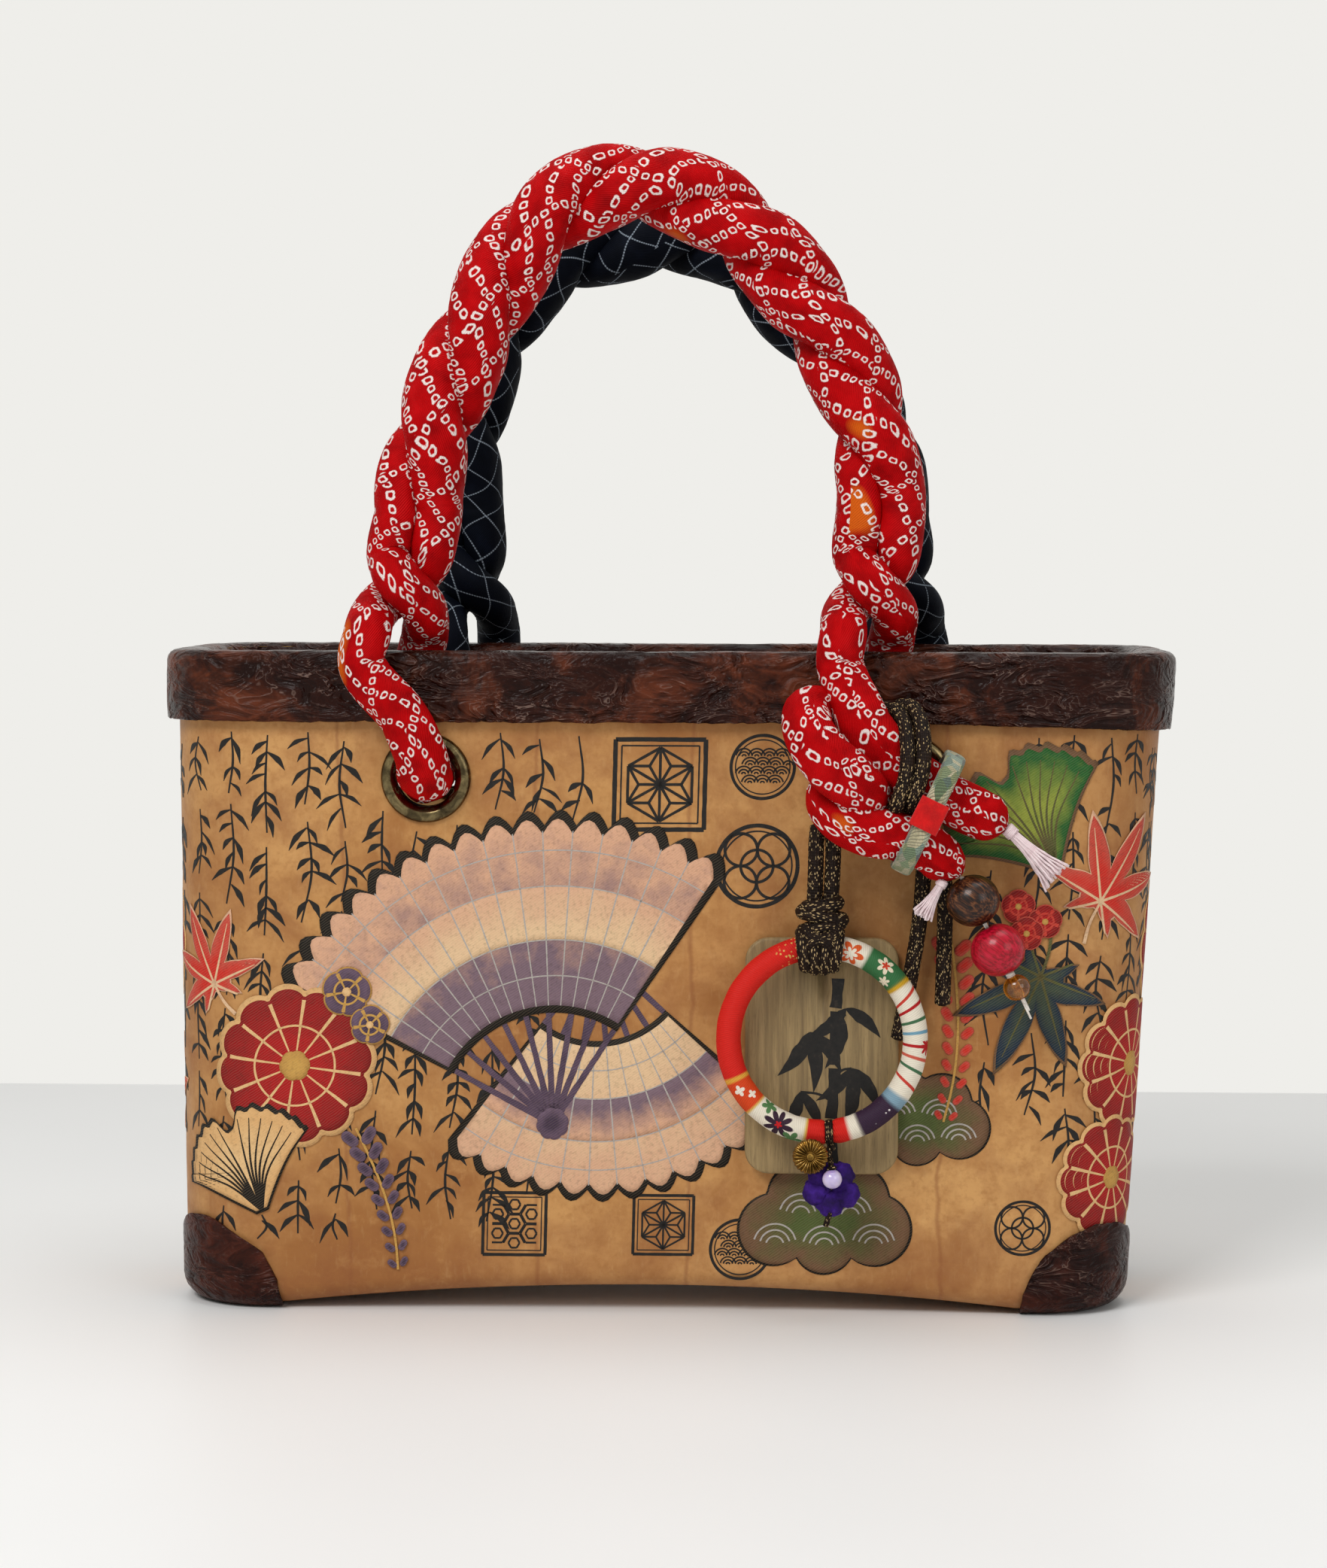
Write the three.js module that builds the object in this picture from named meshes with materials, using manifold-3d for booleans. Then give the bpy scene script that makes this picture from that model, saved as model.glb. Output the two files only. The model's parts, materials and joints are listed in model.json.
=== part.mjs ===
// A bamboo basket bag, papered inside and out, with two twisted cloth handles and a cord of charms.
// Millimetres, +Z up. The front faces -Y, and the origin is on the ground under the middle of the rim.

import * as THREE from 'three';
import { mergeVertices } from 'three/addons/utils/BufferGeometryUtils.js';
import Module from 'manifold-3d';

const wasm = await Module();
wasm.setup();

// General fit
const CLEARANCE = 0.3;
const BACK = new THREE.Vector3(0, 1, 0);

// Basket body: the sizes of the papered outside, without the rim
const RIM_TOP = 222;
const BODY_TOP_WIDTH = 334;
const BODY_TOP_DEPTH = 113;
const BODY_BASE_WIDTH = 320;
const BODY_BASE_DEPTH = 105;
const BASE_SHIFT = -5.5;
const CORNER_RADIUS = 30;
const EDGE_RADIUS = 7;
const BASE_ARCH = 7;
const COVER_THICKNESS = 0.8;
const CORE_THICKNESS = 2.4;
const LINING_THICKNESS = 0.8;
const CORNER_STEPS = 4;
const LONG_EDGE_STEPS = 6;

// Rim: two bamboo hoops on either side of the wall under a folded binding
const RIM_BAND_HEIGHT = 23;
const HOOP_THICKNESS = 2.4;
const BINDING_THICKNESS = 0.8;

// Corner guards
const GUARD_WIDTH = 36;
const GUARD_HEIGHT = 32;
const GUARD_THICKNESS = 1.2;

// Eyelets: the drop is from the top of the rim to the middle of the bore
const EYELET_X = 80;
const EYELET_DROP = 42;
const EYELET_BORE = 19.6;
const EYELET_OUTER = 30;
const EYELET_FLANGE = 1.4;
const EYELET_METAL = 0.8;
const WASHER_OUTER = 29;
const WASHER_THICKNESS = 0.8;
const EYELET_SEGMENTS = 16;
const DRILL_LENGTH = 30;

// Handles: two strands twisted together
const HINGE_RISE = 46;
const TWIST_RADIUS = 7.3;
const STRAND_THIN = 6.6;
const STRAND_WIDE = 9.6;
const HALF_TURNS = 7;
const TWIST_EASE = 20;
const STUB_RADIUS = 6.8;
const CROSSING_RADIUS = 5.7;
const BORE_ROOM = 0.8;
const ROPE_SIDES = 8;
const ROPE_STEP = 10;
const CAP_STEPS = 3;

// Knot at the right eyelet: three layers of cloth, by their distance from the wall
const KNOT_BACK = 7.5;
const KNOT_MIDDLE = 18.5;
const KNOT_FRONT = 29.6;
const KNOT_THIN = 5.2;
const KNOT_WIDE = 7.4;

// Cord, thread and tassels
const CORD_DIAMETER = 5.3;
const CORD_SIDES = 8;
const CORD_STEP = 9;
const THREAD_DIAMETER = 1.6;
const TASSEL_LENGTH = 21;
const TASSEL_WIDTH = 10;
const TASSEL_SIDES = 10;
const THREAD_END = 5;

// Places at the front knot are across, out from the wall and up, from the middle of the right eyelet
// Band round the tails, and the wrap on its front
const BAND_MIDDLE = [6.2, 18.6, -9.6];
const BAND_LEAN = 0.45;
const BAND_LENGTH = 40;
const BAND_DEPTH = 23.6;
const BAND_THICKNESS = 3;
const BAND_WIDTH = 6.8;
const BAND_STEPS = 24;
const BAND_SQUARE = 0.5;
const WRAP_LENGTH = 9.5;
const WRAP_THICKNESS = 1.2;

// Routes of the charm cord, chosen by hand
const HITCH_ROUTE = [
  [-6.5, 10.3, 24], [-2, 13.3, 24], [1, 20.3, 19.5], [2, 26.3, 11],
  [1.2, 27.7, 2.5], [-1.2, 26.8, -5], [-2.2, 22.6, -7.4], [-2.4, 17.5, -7.7],
];
const TAIL_1_ROUTE = [
  [5.2, 11.6, -20], [5.2, 10.4, -28], [4.8, 7.6, -38], [3.6, 6.1, -50], [1, 6, -66], [-2.8, 6, -86],
];
const TAIL_2_ROUTE = [
  [11.1, 11.4, -21], [11.9, 10.3, -30], [12.4, 7.6, -41], [12.3, 6.1, -54], [11.8, 6, -74.5],
];
const TASSEL_A_PLACE = [31.8, 15.5, -14.6];
const TASSEL_A_DIRECTION = [0.72, 0.05, -0.69];
const TASSEL_B_PLACE = [11.6, 20.2, -31.2];
const TASSEL_B_DIRECTION = [-0.5, 0, -0.866];
const TASSEL_B_SCALE = 0.55;

// Charms: drops are from the middle of the eyelets, unless another piece is named
const CHARM_OFFSET = -28;
const CHARM_TOP_DROP = 17;
const CORD_NIP = 2.4;
const CORD_SHOULDER = 7;
const CORD_SEAT = 0.9;
const CORD_ROOM = 8;
const CHARM_KNOT_DROP = 50;
const CHARM_KNOT_SIZE = [18, 14.4, 24];
const RING_DROP = 85;
const RING_OUTER = 69.4;
const RING_TUBE = 7.9;
const RING_SIDES = 8;
const RING_STEPS = 28;
const LASH_THICKNESS = 0.8;
const LASH_ANGLE = 0.42;
const LASH_STEPS = 6;
const TAG_WIDTH = 51;
const TAG_TOP_DROP = 52.5;
const TAG_HEIGHT = 79;
const TAG_THICKNESS = 3;
const TAG_CORNER = 6;
const TAG_CORNER_STEPS = 5;
const TAG_HOLE_INSET = 7.7;
const TAG_HOLE = 4.4;
const TAG_PIN = 3.2;
const PIN_SIDES = 10;
const BEAD_BROWN = 17.6;
const BEAD_RED = 18;
const BEAD_AMBER = 9;
const BEAD_HOLE = 2.4;
const BEAD_SLANT = 0.47;
const BEAD_START = [17, 19, -30.2];
const BEAD_ROWS = 8;
const BEAD_COLUMNS = 12;
const GOLD_FLOWER = 11.8;
const PEARL = 6.4;
const PEARL_OFFSET = 1.8;
const PEARL_RISE = 2.6;
const PENDANT_DROP = 5.4;
const CREPE_FLOWER = [18.6, 5.5, 15.8];
const CREPE_OFFSET = 2.5;
const CREPE_PETALS = 5;
const CREPE_WAVE = 0.28;
const GOLD_PETALS = 8;
const GOLD_WAVE = 0.14;
const GOLD_DEPTH = 3.4;
const GOLD_OFFSET = 2.4;
const GOLD_DROP = 7.45;
const PETAL_STEPS = 4;

// Colours
const PAPER_TAN = 0xc8965f;
const LINING_TAN = 0xb98a58;
const BAMBOO = 0xb58a4a;
const DARK_LACQUER = 0x3c2620;
const BRASS = 0x8a6d3b;
const RED_CLOTH = 0xbe1419;
const NAVY_CLOTH = 0x121623;
const DARK_CORD = 0x2a2a30;
const PALE_THREAD = 0xe8cfc8;
const BROCADE = 0x8f978c;
const RED_FELT = 0xb3181c;
const BROWN_WOOD = 0x5a3220;
const RED_WOOD = 0x7c2a1c;
const AMBER = 0xd08a1e;
const WHITE_THREAD = 0xe6e0d2;
const PATCH_CLOTH = 0xa8322c;
const TAG_WOOD = 0x8d7a63;
const PURPLE_CREPE = 0x6a3f86;
const PEARL_WHITE = 0xd9d0e6;
const GOLD = 0xc9a227;

const lerp = THREE.MathUtils.lerp;
const bag = new THREE.Group();

// Adds one named piece to the bag
function addPiece(name, geometry, color, roughness = 0.8, metalness = 0) {
  const material = new THREE.MeshStandardMaterial({ color, roughness, metalness });
  const mesh = new THREE.Mesh(geometry, material);
  mesh.name = name;
  bag.add(mesh);
  return mesh;
}

// Joins rings of points into a closed surface, with a fan at each end or the last ring back on the first
// Layers of one shape split each four-sided face along its lower diagonal, so that they fold alike
function skin(rings, { loop = false, layer = false, start = null, end = null } = {}) {
  const count = rings[0].length;
  const points = rings.flat();
  const triangles = [];
  const bands = loop ? rings.length : rings.length - 1;
  for (let i = 0; i < bands; i += 1) {
    const a = i * count;
    const b = ((i + 1) % rings.length) * count;
    for (let j = 0; j < count; j += 1) {
      const k = (j + 1) % count;
      const rising = points[a + j].z + points[b + k].z;
      if (!layer || rising < points[a + k].z + points[b + j].z) {
        triangles.push([a + j, a + k, b + k], [a + j, b + k, b + j]);
      } else {
        triangles.push([a + j, a + k, b + j], [a + k, b + k, b + j]);
      }
    }
  }
  if (!loop) {
    const last = (rings.length - 1) * count;
    const first = points.push(start ?? centreOf(rings[0])) - 1;
    const final = points.push(end ?? centreOf(rings.at(-1))) - 1;
    for (let j = 0; j < count; j += 1) {
      const k = (j + 1) % count;
      triangles.push([first, k, j], [final, last + j, last + k]);
    }
  }
  return outwardGeometry(points, triangles);
}

function centreOf(ring) {
  const centre = new THREE.Vector3();
  ring.forEach((point) => centre.addScaledVector(point, 1 / ring.length));
  return centre;
}

// Turns the faces outward by the sign of the enclosed volume
function outwardGeometry(points, triangles) {
  const cross = new THREE.Vector3();
  let volume = 0;
  for (const [a, b, c] of triangles) {
    volume += points[a].dot(cross.crossVectors(points[b], points[c]));
  }
  const faces = volume < 0 ? triangles.map(([a, b, c]) => [a, c, b]) : triangles;
  const geometry = new THREE.BufferGeometry();
  geometry.setAttribute('position', new THREE.Float32BufferAttribute(points.flatMap((p) => p.toArray()), 3));
  geometry.setIndex(faces.flat());
  return geometry;
}

// Solids that can be cut and joined
function toSolid(geometry) {
  const bare = geometry.clone();
  bare.deleteAttribute('normal');
  bare.deleteAttribute('uv');
  const merged = mergeVertices(bare, 1e-4);
  const mesh = new wasm.Mesh({
    numProp: 3,
    vertProperties: new Float32Array(merged.attributes.position.array),
    triVerts: new Uint32Array(merged.index.array),
  });
  return new wasm.Manifold(mesh);
}

function fromSolid(solid) {
  const { vertProperties, triVerts } = solid.getMesh();
  const geometry = new THREE.BufferGeometry();
  geometry.setAttribute('position', new THREE.BufferAttribute(new Float32Array(vertProperties), 3));
  geometry.setIndex(Array.from(triVerts));
  return geometry;
}

function cut(geometry, ...tools) {
  return fromSolid(tools.reduce((solid, tool) => solid.subtract(toSolid(tool)), toSolid(geometry)));
}

function ellipsoid(centre, radii, columns = 16, rows = 10) {
  const geometry = new THREE.SphereGeometry(1, columns, rows);
  geometry.rotateX(Math.PI / 2);
  geometry.scale(...radii);
  geometry.translate(...centre);
  return geometry;
}

// Body surface: every layer is the outside surface moved in or out by an offset
function halfDepth(z) {
  return lerp(BODY_BASE_DEPTH, BODY_TOP_DEPTH, z / RIM_TOP) / 2;
}

function outline(z, offset, edgeSteps = LONG_EDGE_STEPS) {
  const t = z / RIM_TOP;
  const radius = CORNER_RADIUS + offset;
  const flatX = lerp(BODY_BASE_WIDTH, BODY_TOP_WIDTH, t) / 2 - CORNER_RADIUS;
  const flatY = halfDepth(z) - CORNER_RADIUS;
  const centreX = BASE_SHIFT * (1 - t);
  const points = [];
  const corners = [[1, -1], [1, 1], [-1, 1], [-1, -1]];
  corners.forEach(([sideX, sideY], quarter) => {
    for (let i = 0; i <= CORNER_STEPS; i += 1) {
      const angle = (quarter - 1 + i / CORNER_STEPS) * Math.PI / 2;
      const x = centreX + sideX * flatX + radius * Math.cos(angle);
      points.push(new THREE.Vector3(x, sideY * flatY + radius * Math.sin(angle), z));
    }
    if (quarter % 2 === 1) {
      for (let i = 1; i < edgeSteps; i += 1) {
        const x = centreX + sideX * flatX * (1 - 2 * i / edgeSteps);
        points.push(new THREE.Vector3(x, sideY * (flatY + radius), z));
      }
    }
  });
  return points;
}

// The base rises between the corner guards, and is level where they sit
function archLift(x) {
  const reach = BODY_BASE_WIDTH / 2 - GUARD_WIDTH;
  const t = Math.min(1, Math.abs(x - BASE_SHIFT) / reach);
  return BASE_ARCH * (1 - t * t);
}

function lifted(ring) {
  return ring.map((p) => new THREE.Vector3(p.x, p.y, p.z + archLift(p.x)));
}

// Rings of one layer from the middle of the base to the top
function bodySurface(offset, top) {
  const bottom = GUARD_THICKNESS + CLEARANCE - offset;
  const edge = EDGE_RADIUS + offset;
  const half = 1 - Math.SQRT1_2;
  const inset = outline(bottom, offset - edge);
  const level = (BODY_BASE_WIDTH / 2 - GUARD_WIDTH) / (BODY_BASE_WIDTH / 2 - CORNER_RADIUS);
  const middle = inset.map((p) => new THREE.Vector3(lerp(BASE_SHIFT, p.x, level), p.y / 2, p.z));
  return [
    lifted(middle),
    lifted(inset),
    lifted(outline(bottom + half * edge, offset - half * edge)),
    lifted(outline(bottom + edge, offset)),
    outline(top, offset),
  ];
}

function baseCentre(offset) {
  return new THREE.Vector3(BASE_SHIFT, 0, GUARD_THICKNESS + CLEARANCE - offset + BASE_ARCH);
}

function cup(outside, inside, top) {
  const rings = [...bodySurface(outside, top), ...bodySurface(inside, top).reverse()];
  return skin(rings, { layer: true, start: baseCentre(outside), end: baseCentre(inside) });
}

function block(offset, top) {
  return skin(bodySurface(offset, top), { layer: true, start: baseCentre(offset) });
}

// Layers from the outside in
const coverInside = -COVER_THICKNESS;
const coreOutside = coverInside - CLEARANCE;
const coreInside = coreOutside - CORE_THICKNESS;
const liningOutside = coreInside - CLEARANCE;
const liningInside = liningOutside - LINING_THICKNESS;
const wallThickness = -liningInside;
const wallTop = RIM_TOP - BINDING_THICKNESS - CLEARANCE;
const wallTilt = Math.atan2((BODY_TOP_DEPTH - BODY_BASE_DEPTH) / 2, RIM_TOP);
const eyeletZ = RIM_TOP - EYELET_DROP;
const eyeletWall = halfDepth(eyeletZ);
const hingeZ = RIM_TOP + HINGE_RISE;

// A place across, out from the wall and up, from the middle of the right front eyelet
function atKnot([across, out, up]) {
  return [EYELET_X + across, -eyeletWall - out, eyeletZ + up];
}

// Places an outward-pointing piece that is made round +Y on the front or rear wall
function placeOnWall(object, x, z, side) {
  object.position.set(x, side * halfDepth(z), z);
  object.rotation.x = side < 0 ? Math.PI + wallTilt : -wallTilt;
  object.updateMatrix();
  return object;
}

const eyelets = [];
for (const [sideName, side] of [['front', -1], ['rear', 1]]) {
  for (const [endName, end] of [['left', -1], ['right', 1]]) {
    eyelets.push({ name: `${sideName}_${endName}`, side, x: end * EYELET_X });
  }
}

const barrelRadius = EYELET_BORE / 2 + EYELET_METAL;
const holeRadius = barrelRadius + CLEARANCE;

function eyeletHole({ x, side }) {
  const cylinder = new THREE.CylinderGeometry(holeRadius, holeRadius, DRILL_LENGTH, EYELET_SEGMENTS);
  const drill = placeOnWall(new THREE.Mesh(cylinder), x, eyeletZ, side);
  return drill.geometry.applyMatrix4(drill.matrix);
}

function buildBasket() {
  const holes = eyelets.map(eyeletHole);
  addPiece('basket_core', cut(cup(coreOutside, coreInside, wallTop), ...holes), BAMBOO, 0.7);
  addPiece('paper_cover', cut(cup(0, coverInside, wallTop), ...holes), PAPER_TAN, 0.65);
  addPiece('paper_lining', cut(cup(liningOutside, liningInside, wallTop), ...holes), LINING_TAN, 0.8);
}

// A hoop follows the wall at an offset, and its section is a list of offset and height pairs
function hoop(section) {
  return skin(section.map(([offset, z]) => outline(z, offset, 1)), { loop: true });
}

const hoopOutside = CLEARANCE + HOOP_THICKNESS;
const hoopInside = liningInside - CLEARANCE - HOOP_THICKNESS;
const rimOutside = hoopOutside + CLEARANCE + BINDING_THICKNESS;
const rimInside = hoopInside - CLEARANCE - BINDING_THICKNESS;
const rimBottom = RIM_TOP - RIM_BAND_HEIGHT;
const rimMiddle = halfDepth(RIM_TOP) + (rimOutside + rimInside) / 2;

function buildRim() {
  const box = (near, far) => [[near, rimBottom], [far, rimBottom], [far, wallTop], [near, wallTop]];
  addPiece('rim_hoop_outer', hoop(box(CLEARANCE, hoopOutside)), BAMBOO, 0.7);
  addPiece('rim_hoop_inner', hoop(box(liningInside - CLEARANCE, hoopInside)), BAMBOO, 0.7);
  const binding = [
    [rimOutside, rimBottom],
    [rimOutside, RIM_TOP - BINDING_THICKNESS],
    [rimOutside - BINDING_THICKNESS, RIM_TOP],
    [rimInside + BINDING_THICKNESS, RIM_TOP],
    [rimInside, RIM_TOP - BINDING_THICKNESS],
    [rimInside, rimBottom],
    [rimInside + BINDING_THICKNESS, rimBottom],
    [rimInside + BINDING_THICKNESS, RIM_TOP - BINDING_THICKNESS],
    [rimOutside - BINDING_THICKNESS, RIM_TOP - BINDING_THICKNESS],
    [rimOutside - BINDING_THICKNESS, rimBottom],
  ];
  addPiece('rim_binding', hoop(binding), DARK_LACQUER, 0.45);
}

// Each guard is the corner of a shell over the cover, bounded by an ellipsoid at the corner
function buildGuards() {
  const shellTop = GUARD_HEIGHT + EDGE_RADIUS;
  const outside = toSolid(block(GUARD_THICKNESS + CLEARANCE, shellTop));
  const shell = outside.subtract(toSolid(block(CLEARANCE, shellTop)));
  for (const [sideName, sideY] of [['front', -1], ['rear', 1]]) {
    for (const [endName, sideX] of [['left', -1], ['right', 1]]) {
      const centre = [BASE_SHIFT + sideX * BODY_BASE_WIDTH / 2, sideY * BODY_BASE_DEPTH / 2, 0];
      const corner = toSolid(ellipsoid(centre, [GUARD_WIDTH, GUARD_WIDTH, GUARD_HEIGHT], 24, 16));
      addPiece(`corner_guard_${sideName}_${endName}`, fromSolid(shell.intersect(corner)), DARK_LACQUER, 0.35);
    }
  }
}

function lathe(profile, segments) {
  const points = profile.map(([r, y]) => new THREE.Vector2(r, y));
  return new THREE.LatheGeometry([...points, points[0]], segments);
}

// An eyelet is a flanged barrel through the wall, rolled over a washer on the inside
function buildEyelets() {
  const bore = EYELET_BORE / 2;
  const outer = EYELET_OUTER / 2;
  const washerOut = -wallThickness - CLEARANCE;
  const washerIn = washerOut - WASHER_THICKNESS;
  const lipOut = washerIn - CLEARANCE;
  const lipIn = lipOut - EYELET_METAL;
  const lipRadius = (holeRadius + WASHER_OUTER / 2) / 2;
  const flange = [
    [bore, lipIn],
    [lipRadius, lipIn],
    [lipRadius, lipOut],
    [barrelRadius, lipOut],
    [barrelRadius, CLEARANCE],
    [outer, CLEARANCE],
    [(bore + outer) / 2, CLEARANCE + EYELET_FLANGE],
    [bore, CLEARANCE + EYELET_METAL],
  ];
  const washer = [
    [holeRadius, washerIn],
    [WASHER_OUTER / 2, washerIn],
    [WASHER_OUTER / 2, washerOut],
    [holeRadius, washerOut],
  ];
  for (const { name, x, side } of eyelets) {
    const eyelet = addPiece(`eyelet_${name}`, lathe(flange, EYELET_SEGMENTS), BRASS, 0.4, 1);
    placeOnWall(eyelet, x, eyeletZ, side);
    const ring = addPiece(`eyelet_washer_${name}`, lathe(washer, EYELET_SEGMENTS), BRASS, 0.45, 1);
    placeOnWall(ring, x, eyeletZ, side);
  }
}

// A ring of an oval section, with its thin axis and its wide axis
function ovalRing(centre, thinAxis, wideAxis, thin, wide, sides = ROPE_SIDES) {
  const ring = [];
  for (let i = 0; i < sides; i += 1) {
    const angle = 2 * Math.PI * i / sides;
    const point = centre.clone();
    point.addScaledVector(thinAxis, thin * Math.cos(angle));
    point.addScaledVector(wideAxis, wide * Math.sin(angle));
    ring.push(point);
  }
  return ring;
}

// Thin axes across a route: they keep to the depth of the bag, and turn over smoothly where it runs that way
function thinAxes(tangents) {
  const axes = [];
  for (const tangent of tangents) {
    const axis = BACK.clone().addScaledVector(tangent, -BACK.dot(tangent));
    const before = axes.at(-1);
    if (before && axis.length() < 0.2) {
      axis.copy(before).addScaledVector(tangent, -before.dot(tangent));
    }
    if (before && axis.dot(before) < 0) {
      axis.negate();
    }
    axes.push(axis.normalize());
  }
  const smooth = axes.map((axis, i) => {
    const sum = axis.clone().add(axes[Math.max(0, i - 1)]).add(axes[Math.min(axes.length - 1, i + 1)]);
    return sum.addScaledVector(tangents[i], -sum.dot(tangents[i])).normalize();
  });
  return smooth;
}

// A rope along hand-chosen stations of x, y, z and the half thickness and half width there
function rope(stations, { sides = ROPE_SIDES, step = ROPE_STEP } = {}) {
  const curve = new THREE.CatmullRomCurve3(stations.map(([x, y, z]) => new THREE.Vector3(x, y, z)));
  const steps = Math.ceil(curve.getLength() / step);
  const centres = [];
  const tangents = [];
  const sizes = [];
  for (let i = 0; i <= steps; i += 1) {
    const t = curve.getUtoTmapping(i / steps);
    const place = Math.min(t * (stations.length - 1), stations.length - 1.000001);
    const before = stations[Math.floor(place)];
    const after = stations[Math.floor(place) + 1];
    const part = place - Math.floor(place);
    centres.push(curve.getPoint(t));
    tangents.push(curve.getTangent(t));
    sizes.push([lerp(before[3], after[3], part), lerp(before[4], after[4], part)]);
  }
  const axes = thinAxes(tangents);
  const rings = centres.map((centre, i) => {
    const wideAxis = new THREE.Vector3().crossVectors(tangents[i], axes[i]);
    return ovalRing(centre, axes[i], wideAxis, sizes[i][0], sizes[i][1], sides);
  });
  return skin(rings);
}

function cord(points, diameter = CORD_DIAMETER, step = CORD_STEP) {
  const stations = points.map((point) => [...point, diameter / 2, diameter / 2]);
  return rope(stations, { sides: CORD_SIDES, step });
}

// Twist angle along the arch: even, with the lay eased out at both ends
function twistAt(s, length) {
  const full = length - TWIST_EASE;
  let turned = s - TWIST_EASE / 2;
  if (s < TWIST_EASE) {
    turned = s * s / (2 * TWIST_EASE);
  } else if (s > length - TWIST_EASE) {
    turned = full - (length - s) ** 2 / (2 * TWIST_EASE);
  }
  return -Math.PI * HALF_TURNS * turned / full;
}

// One strand of the arch between the two bending points, with a round end on each
function archStrand(archPoints, startAngle) {
  const points = archPoints.map(([x, rise]) => new THREE.Vector3(x, -rimMiddle, hingeZ + rise));
  const arch = new THREE.CatmullRomCurve3(points);
  const length = arch.getLength();
  const steps = Math.ceil(length / ROPE_STEP);
  const radials = [];
  const centres = [];
  for (let i = 0; i <= steps; i += 1) {
    const tangent = arch.getTangentAt(i / steps);
    const outward = new THREE.Vector3().crossVectors(tangent, BACK).negate();
    const front = new THREE.Vector3().crossVectors(tangent, outward);
    const angle = startAngle + twistAt(length * i / steps, length);
    const radial = outward.multiplyScalar(Math.cos(angle)).addScaledVector(front, Math.sin(angle));
    radials.push(radial);
    centres.push(arch.getPointAt(i / steps).addScaledVector(radial, TWIST_RADIUS));
  }
  const rings = [];
  const poles = [];
  centres.forEach((centre, i) => {
    const before = centres[Math.max(0, i - 1)];
    const after = centres[Math.min(steps, i + 1)];
    const tangent = after.clone().sub(before);
    tangent.normalize();
    const thinAxis = radials[i].clone().addScaledVector(tangent, -radials[i].dot(tangent)).normalize();
    const wideAxis = new THREE.Vector3().crossVectors(tangent, thinAxis);
    const shrink = (lift, sign) => {
      const scale = Math.cos(lift);
      const moved = centre.clone().addScaledVector(tangent, sign * STRAND_WIDE * Math.sin(lift));
      return ovalRing(moved, thinAxis, wideAxis, STRAND_THIN * scale, STRAND_WIDE * scale);
    };
    if (i === 0 || i === steps) {
      poles.push(centre.clone().addScaledVector(tangent, (i === 0 ? -1 : 1) * STRAND_WIDE));
    }
    for (let k = CAP_STEPS - 1; i === 0 && k > 0; k -= 1) {
      rings.push(shrink(k / CAP_STEPS * Math.PI / 2, -1));
    }
    rings.push(shrink(0, 1));
    for (let k = 1; i === steps && k < CAP_STEPS; k += 1) {
      rings.push(shrink(k / CAP_STEPS * Math.PI / 2, 1));
    }
  });
  return skin(rings, { start: poles[0], end: poles[1] });
}

// The upper part of a strand at a foot, from the bending point down past the rim, in front or behind
function footStations(hingeX, rimX, side) {
  const top = hingeZ - STRAND_WIDE - 2.4 * CLEARANCE;
  const straddle = (rimOutside - rimInside) / 2 + STUB_RADIUS + 2 * CLEARANCE;
  const turns = [
    [TWIST_RADIUS, 0, top, STUB_RADIUS],
    [TWIST_RADIUS, 0.8, top - 4, STUB_RADIUS],
    [1.5, CROSSING_RADIUS + 2.2, top - 12, CROSSING_RADIUS],
    [-CROSSING_RADIUS - 2.6, 0.4, top - 21, CROSSING_RADIUS],
    [-8.4, -straddle + 1, top - 30.5, STUB_RADIUS - 0.6],
    [-8, -straddle, RIM_TOP - 4, STUB_RADIUS],
  ];
  return turns.map(([x, y, z, radius]) => {
    const centreX = lerp(rimX, hingeX, (z - RIM_TOP) / HINGE_RISE);
    return [centreX - side * x, -rimMiddle - side * y, z, radius, radius];
  });
}

const OUTSIDE = -1;
const INSIDE = 1;

// The folded end of the rope goes in through the left eyelet and up on the inside
function bight({ bightHingeX, bightRimX }) {
  const wall = eyeletWall;
  const middle = wall - wallThickness / 2;
  const outer = rimMiddle + (rimOutside - rimInside) / 2 + STUB_RADIUS + 2 * CLEARANCE;
  const inner = rimMiddle - (rimOutside - rimInside) / 2 - STUB_RADIUS - 2 * CLEARANCE;
  const wide = EYELET_BORE / 2 - BORE_ROOM;
  const thin = wide - 4 * CLEARANCE;
  const x = -EYELET_X;
  const low = eyeletZ;
  return rope([
    ...footStations(bightHingeX, bightRimX, OUTSIDE),
    [lerp(x, bightRimX, 0.35) - 2, -outer, low + 20, STUB_RADIUS, STUB_RADIUS],
    [x - 1, -outer + 1, low + 9, STUB_RADIUS, 7.4],
    [x, -wall - 4.5, low + 1.2, thin, wide],
    [x, -middle, low, thin, wide],
    [x, -wall + wallThickness + 4, low + 1.2, thin, wide],
    [x + 1, -inner - 0.5, low + 9, STUB_RADIUS, 7.4],
    [lerp(x, bightRimX, 0.35) + 3, -inner, low + 20, STUB_RADIUS, STUB_RADIUS],
    ...footStations(bightHingeX, bightRimX, INSIDE).reverse(),
  ]);
}

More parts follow.
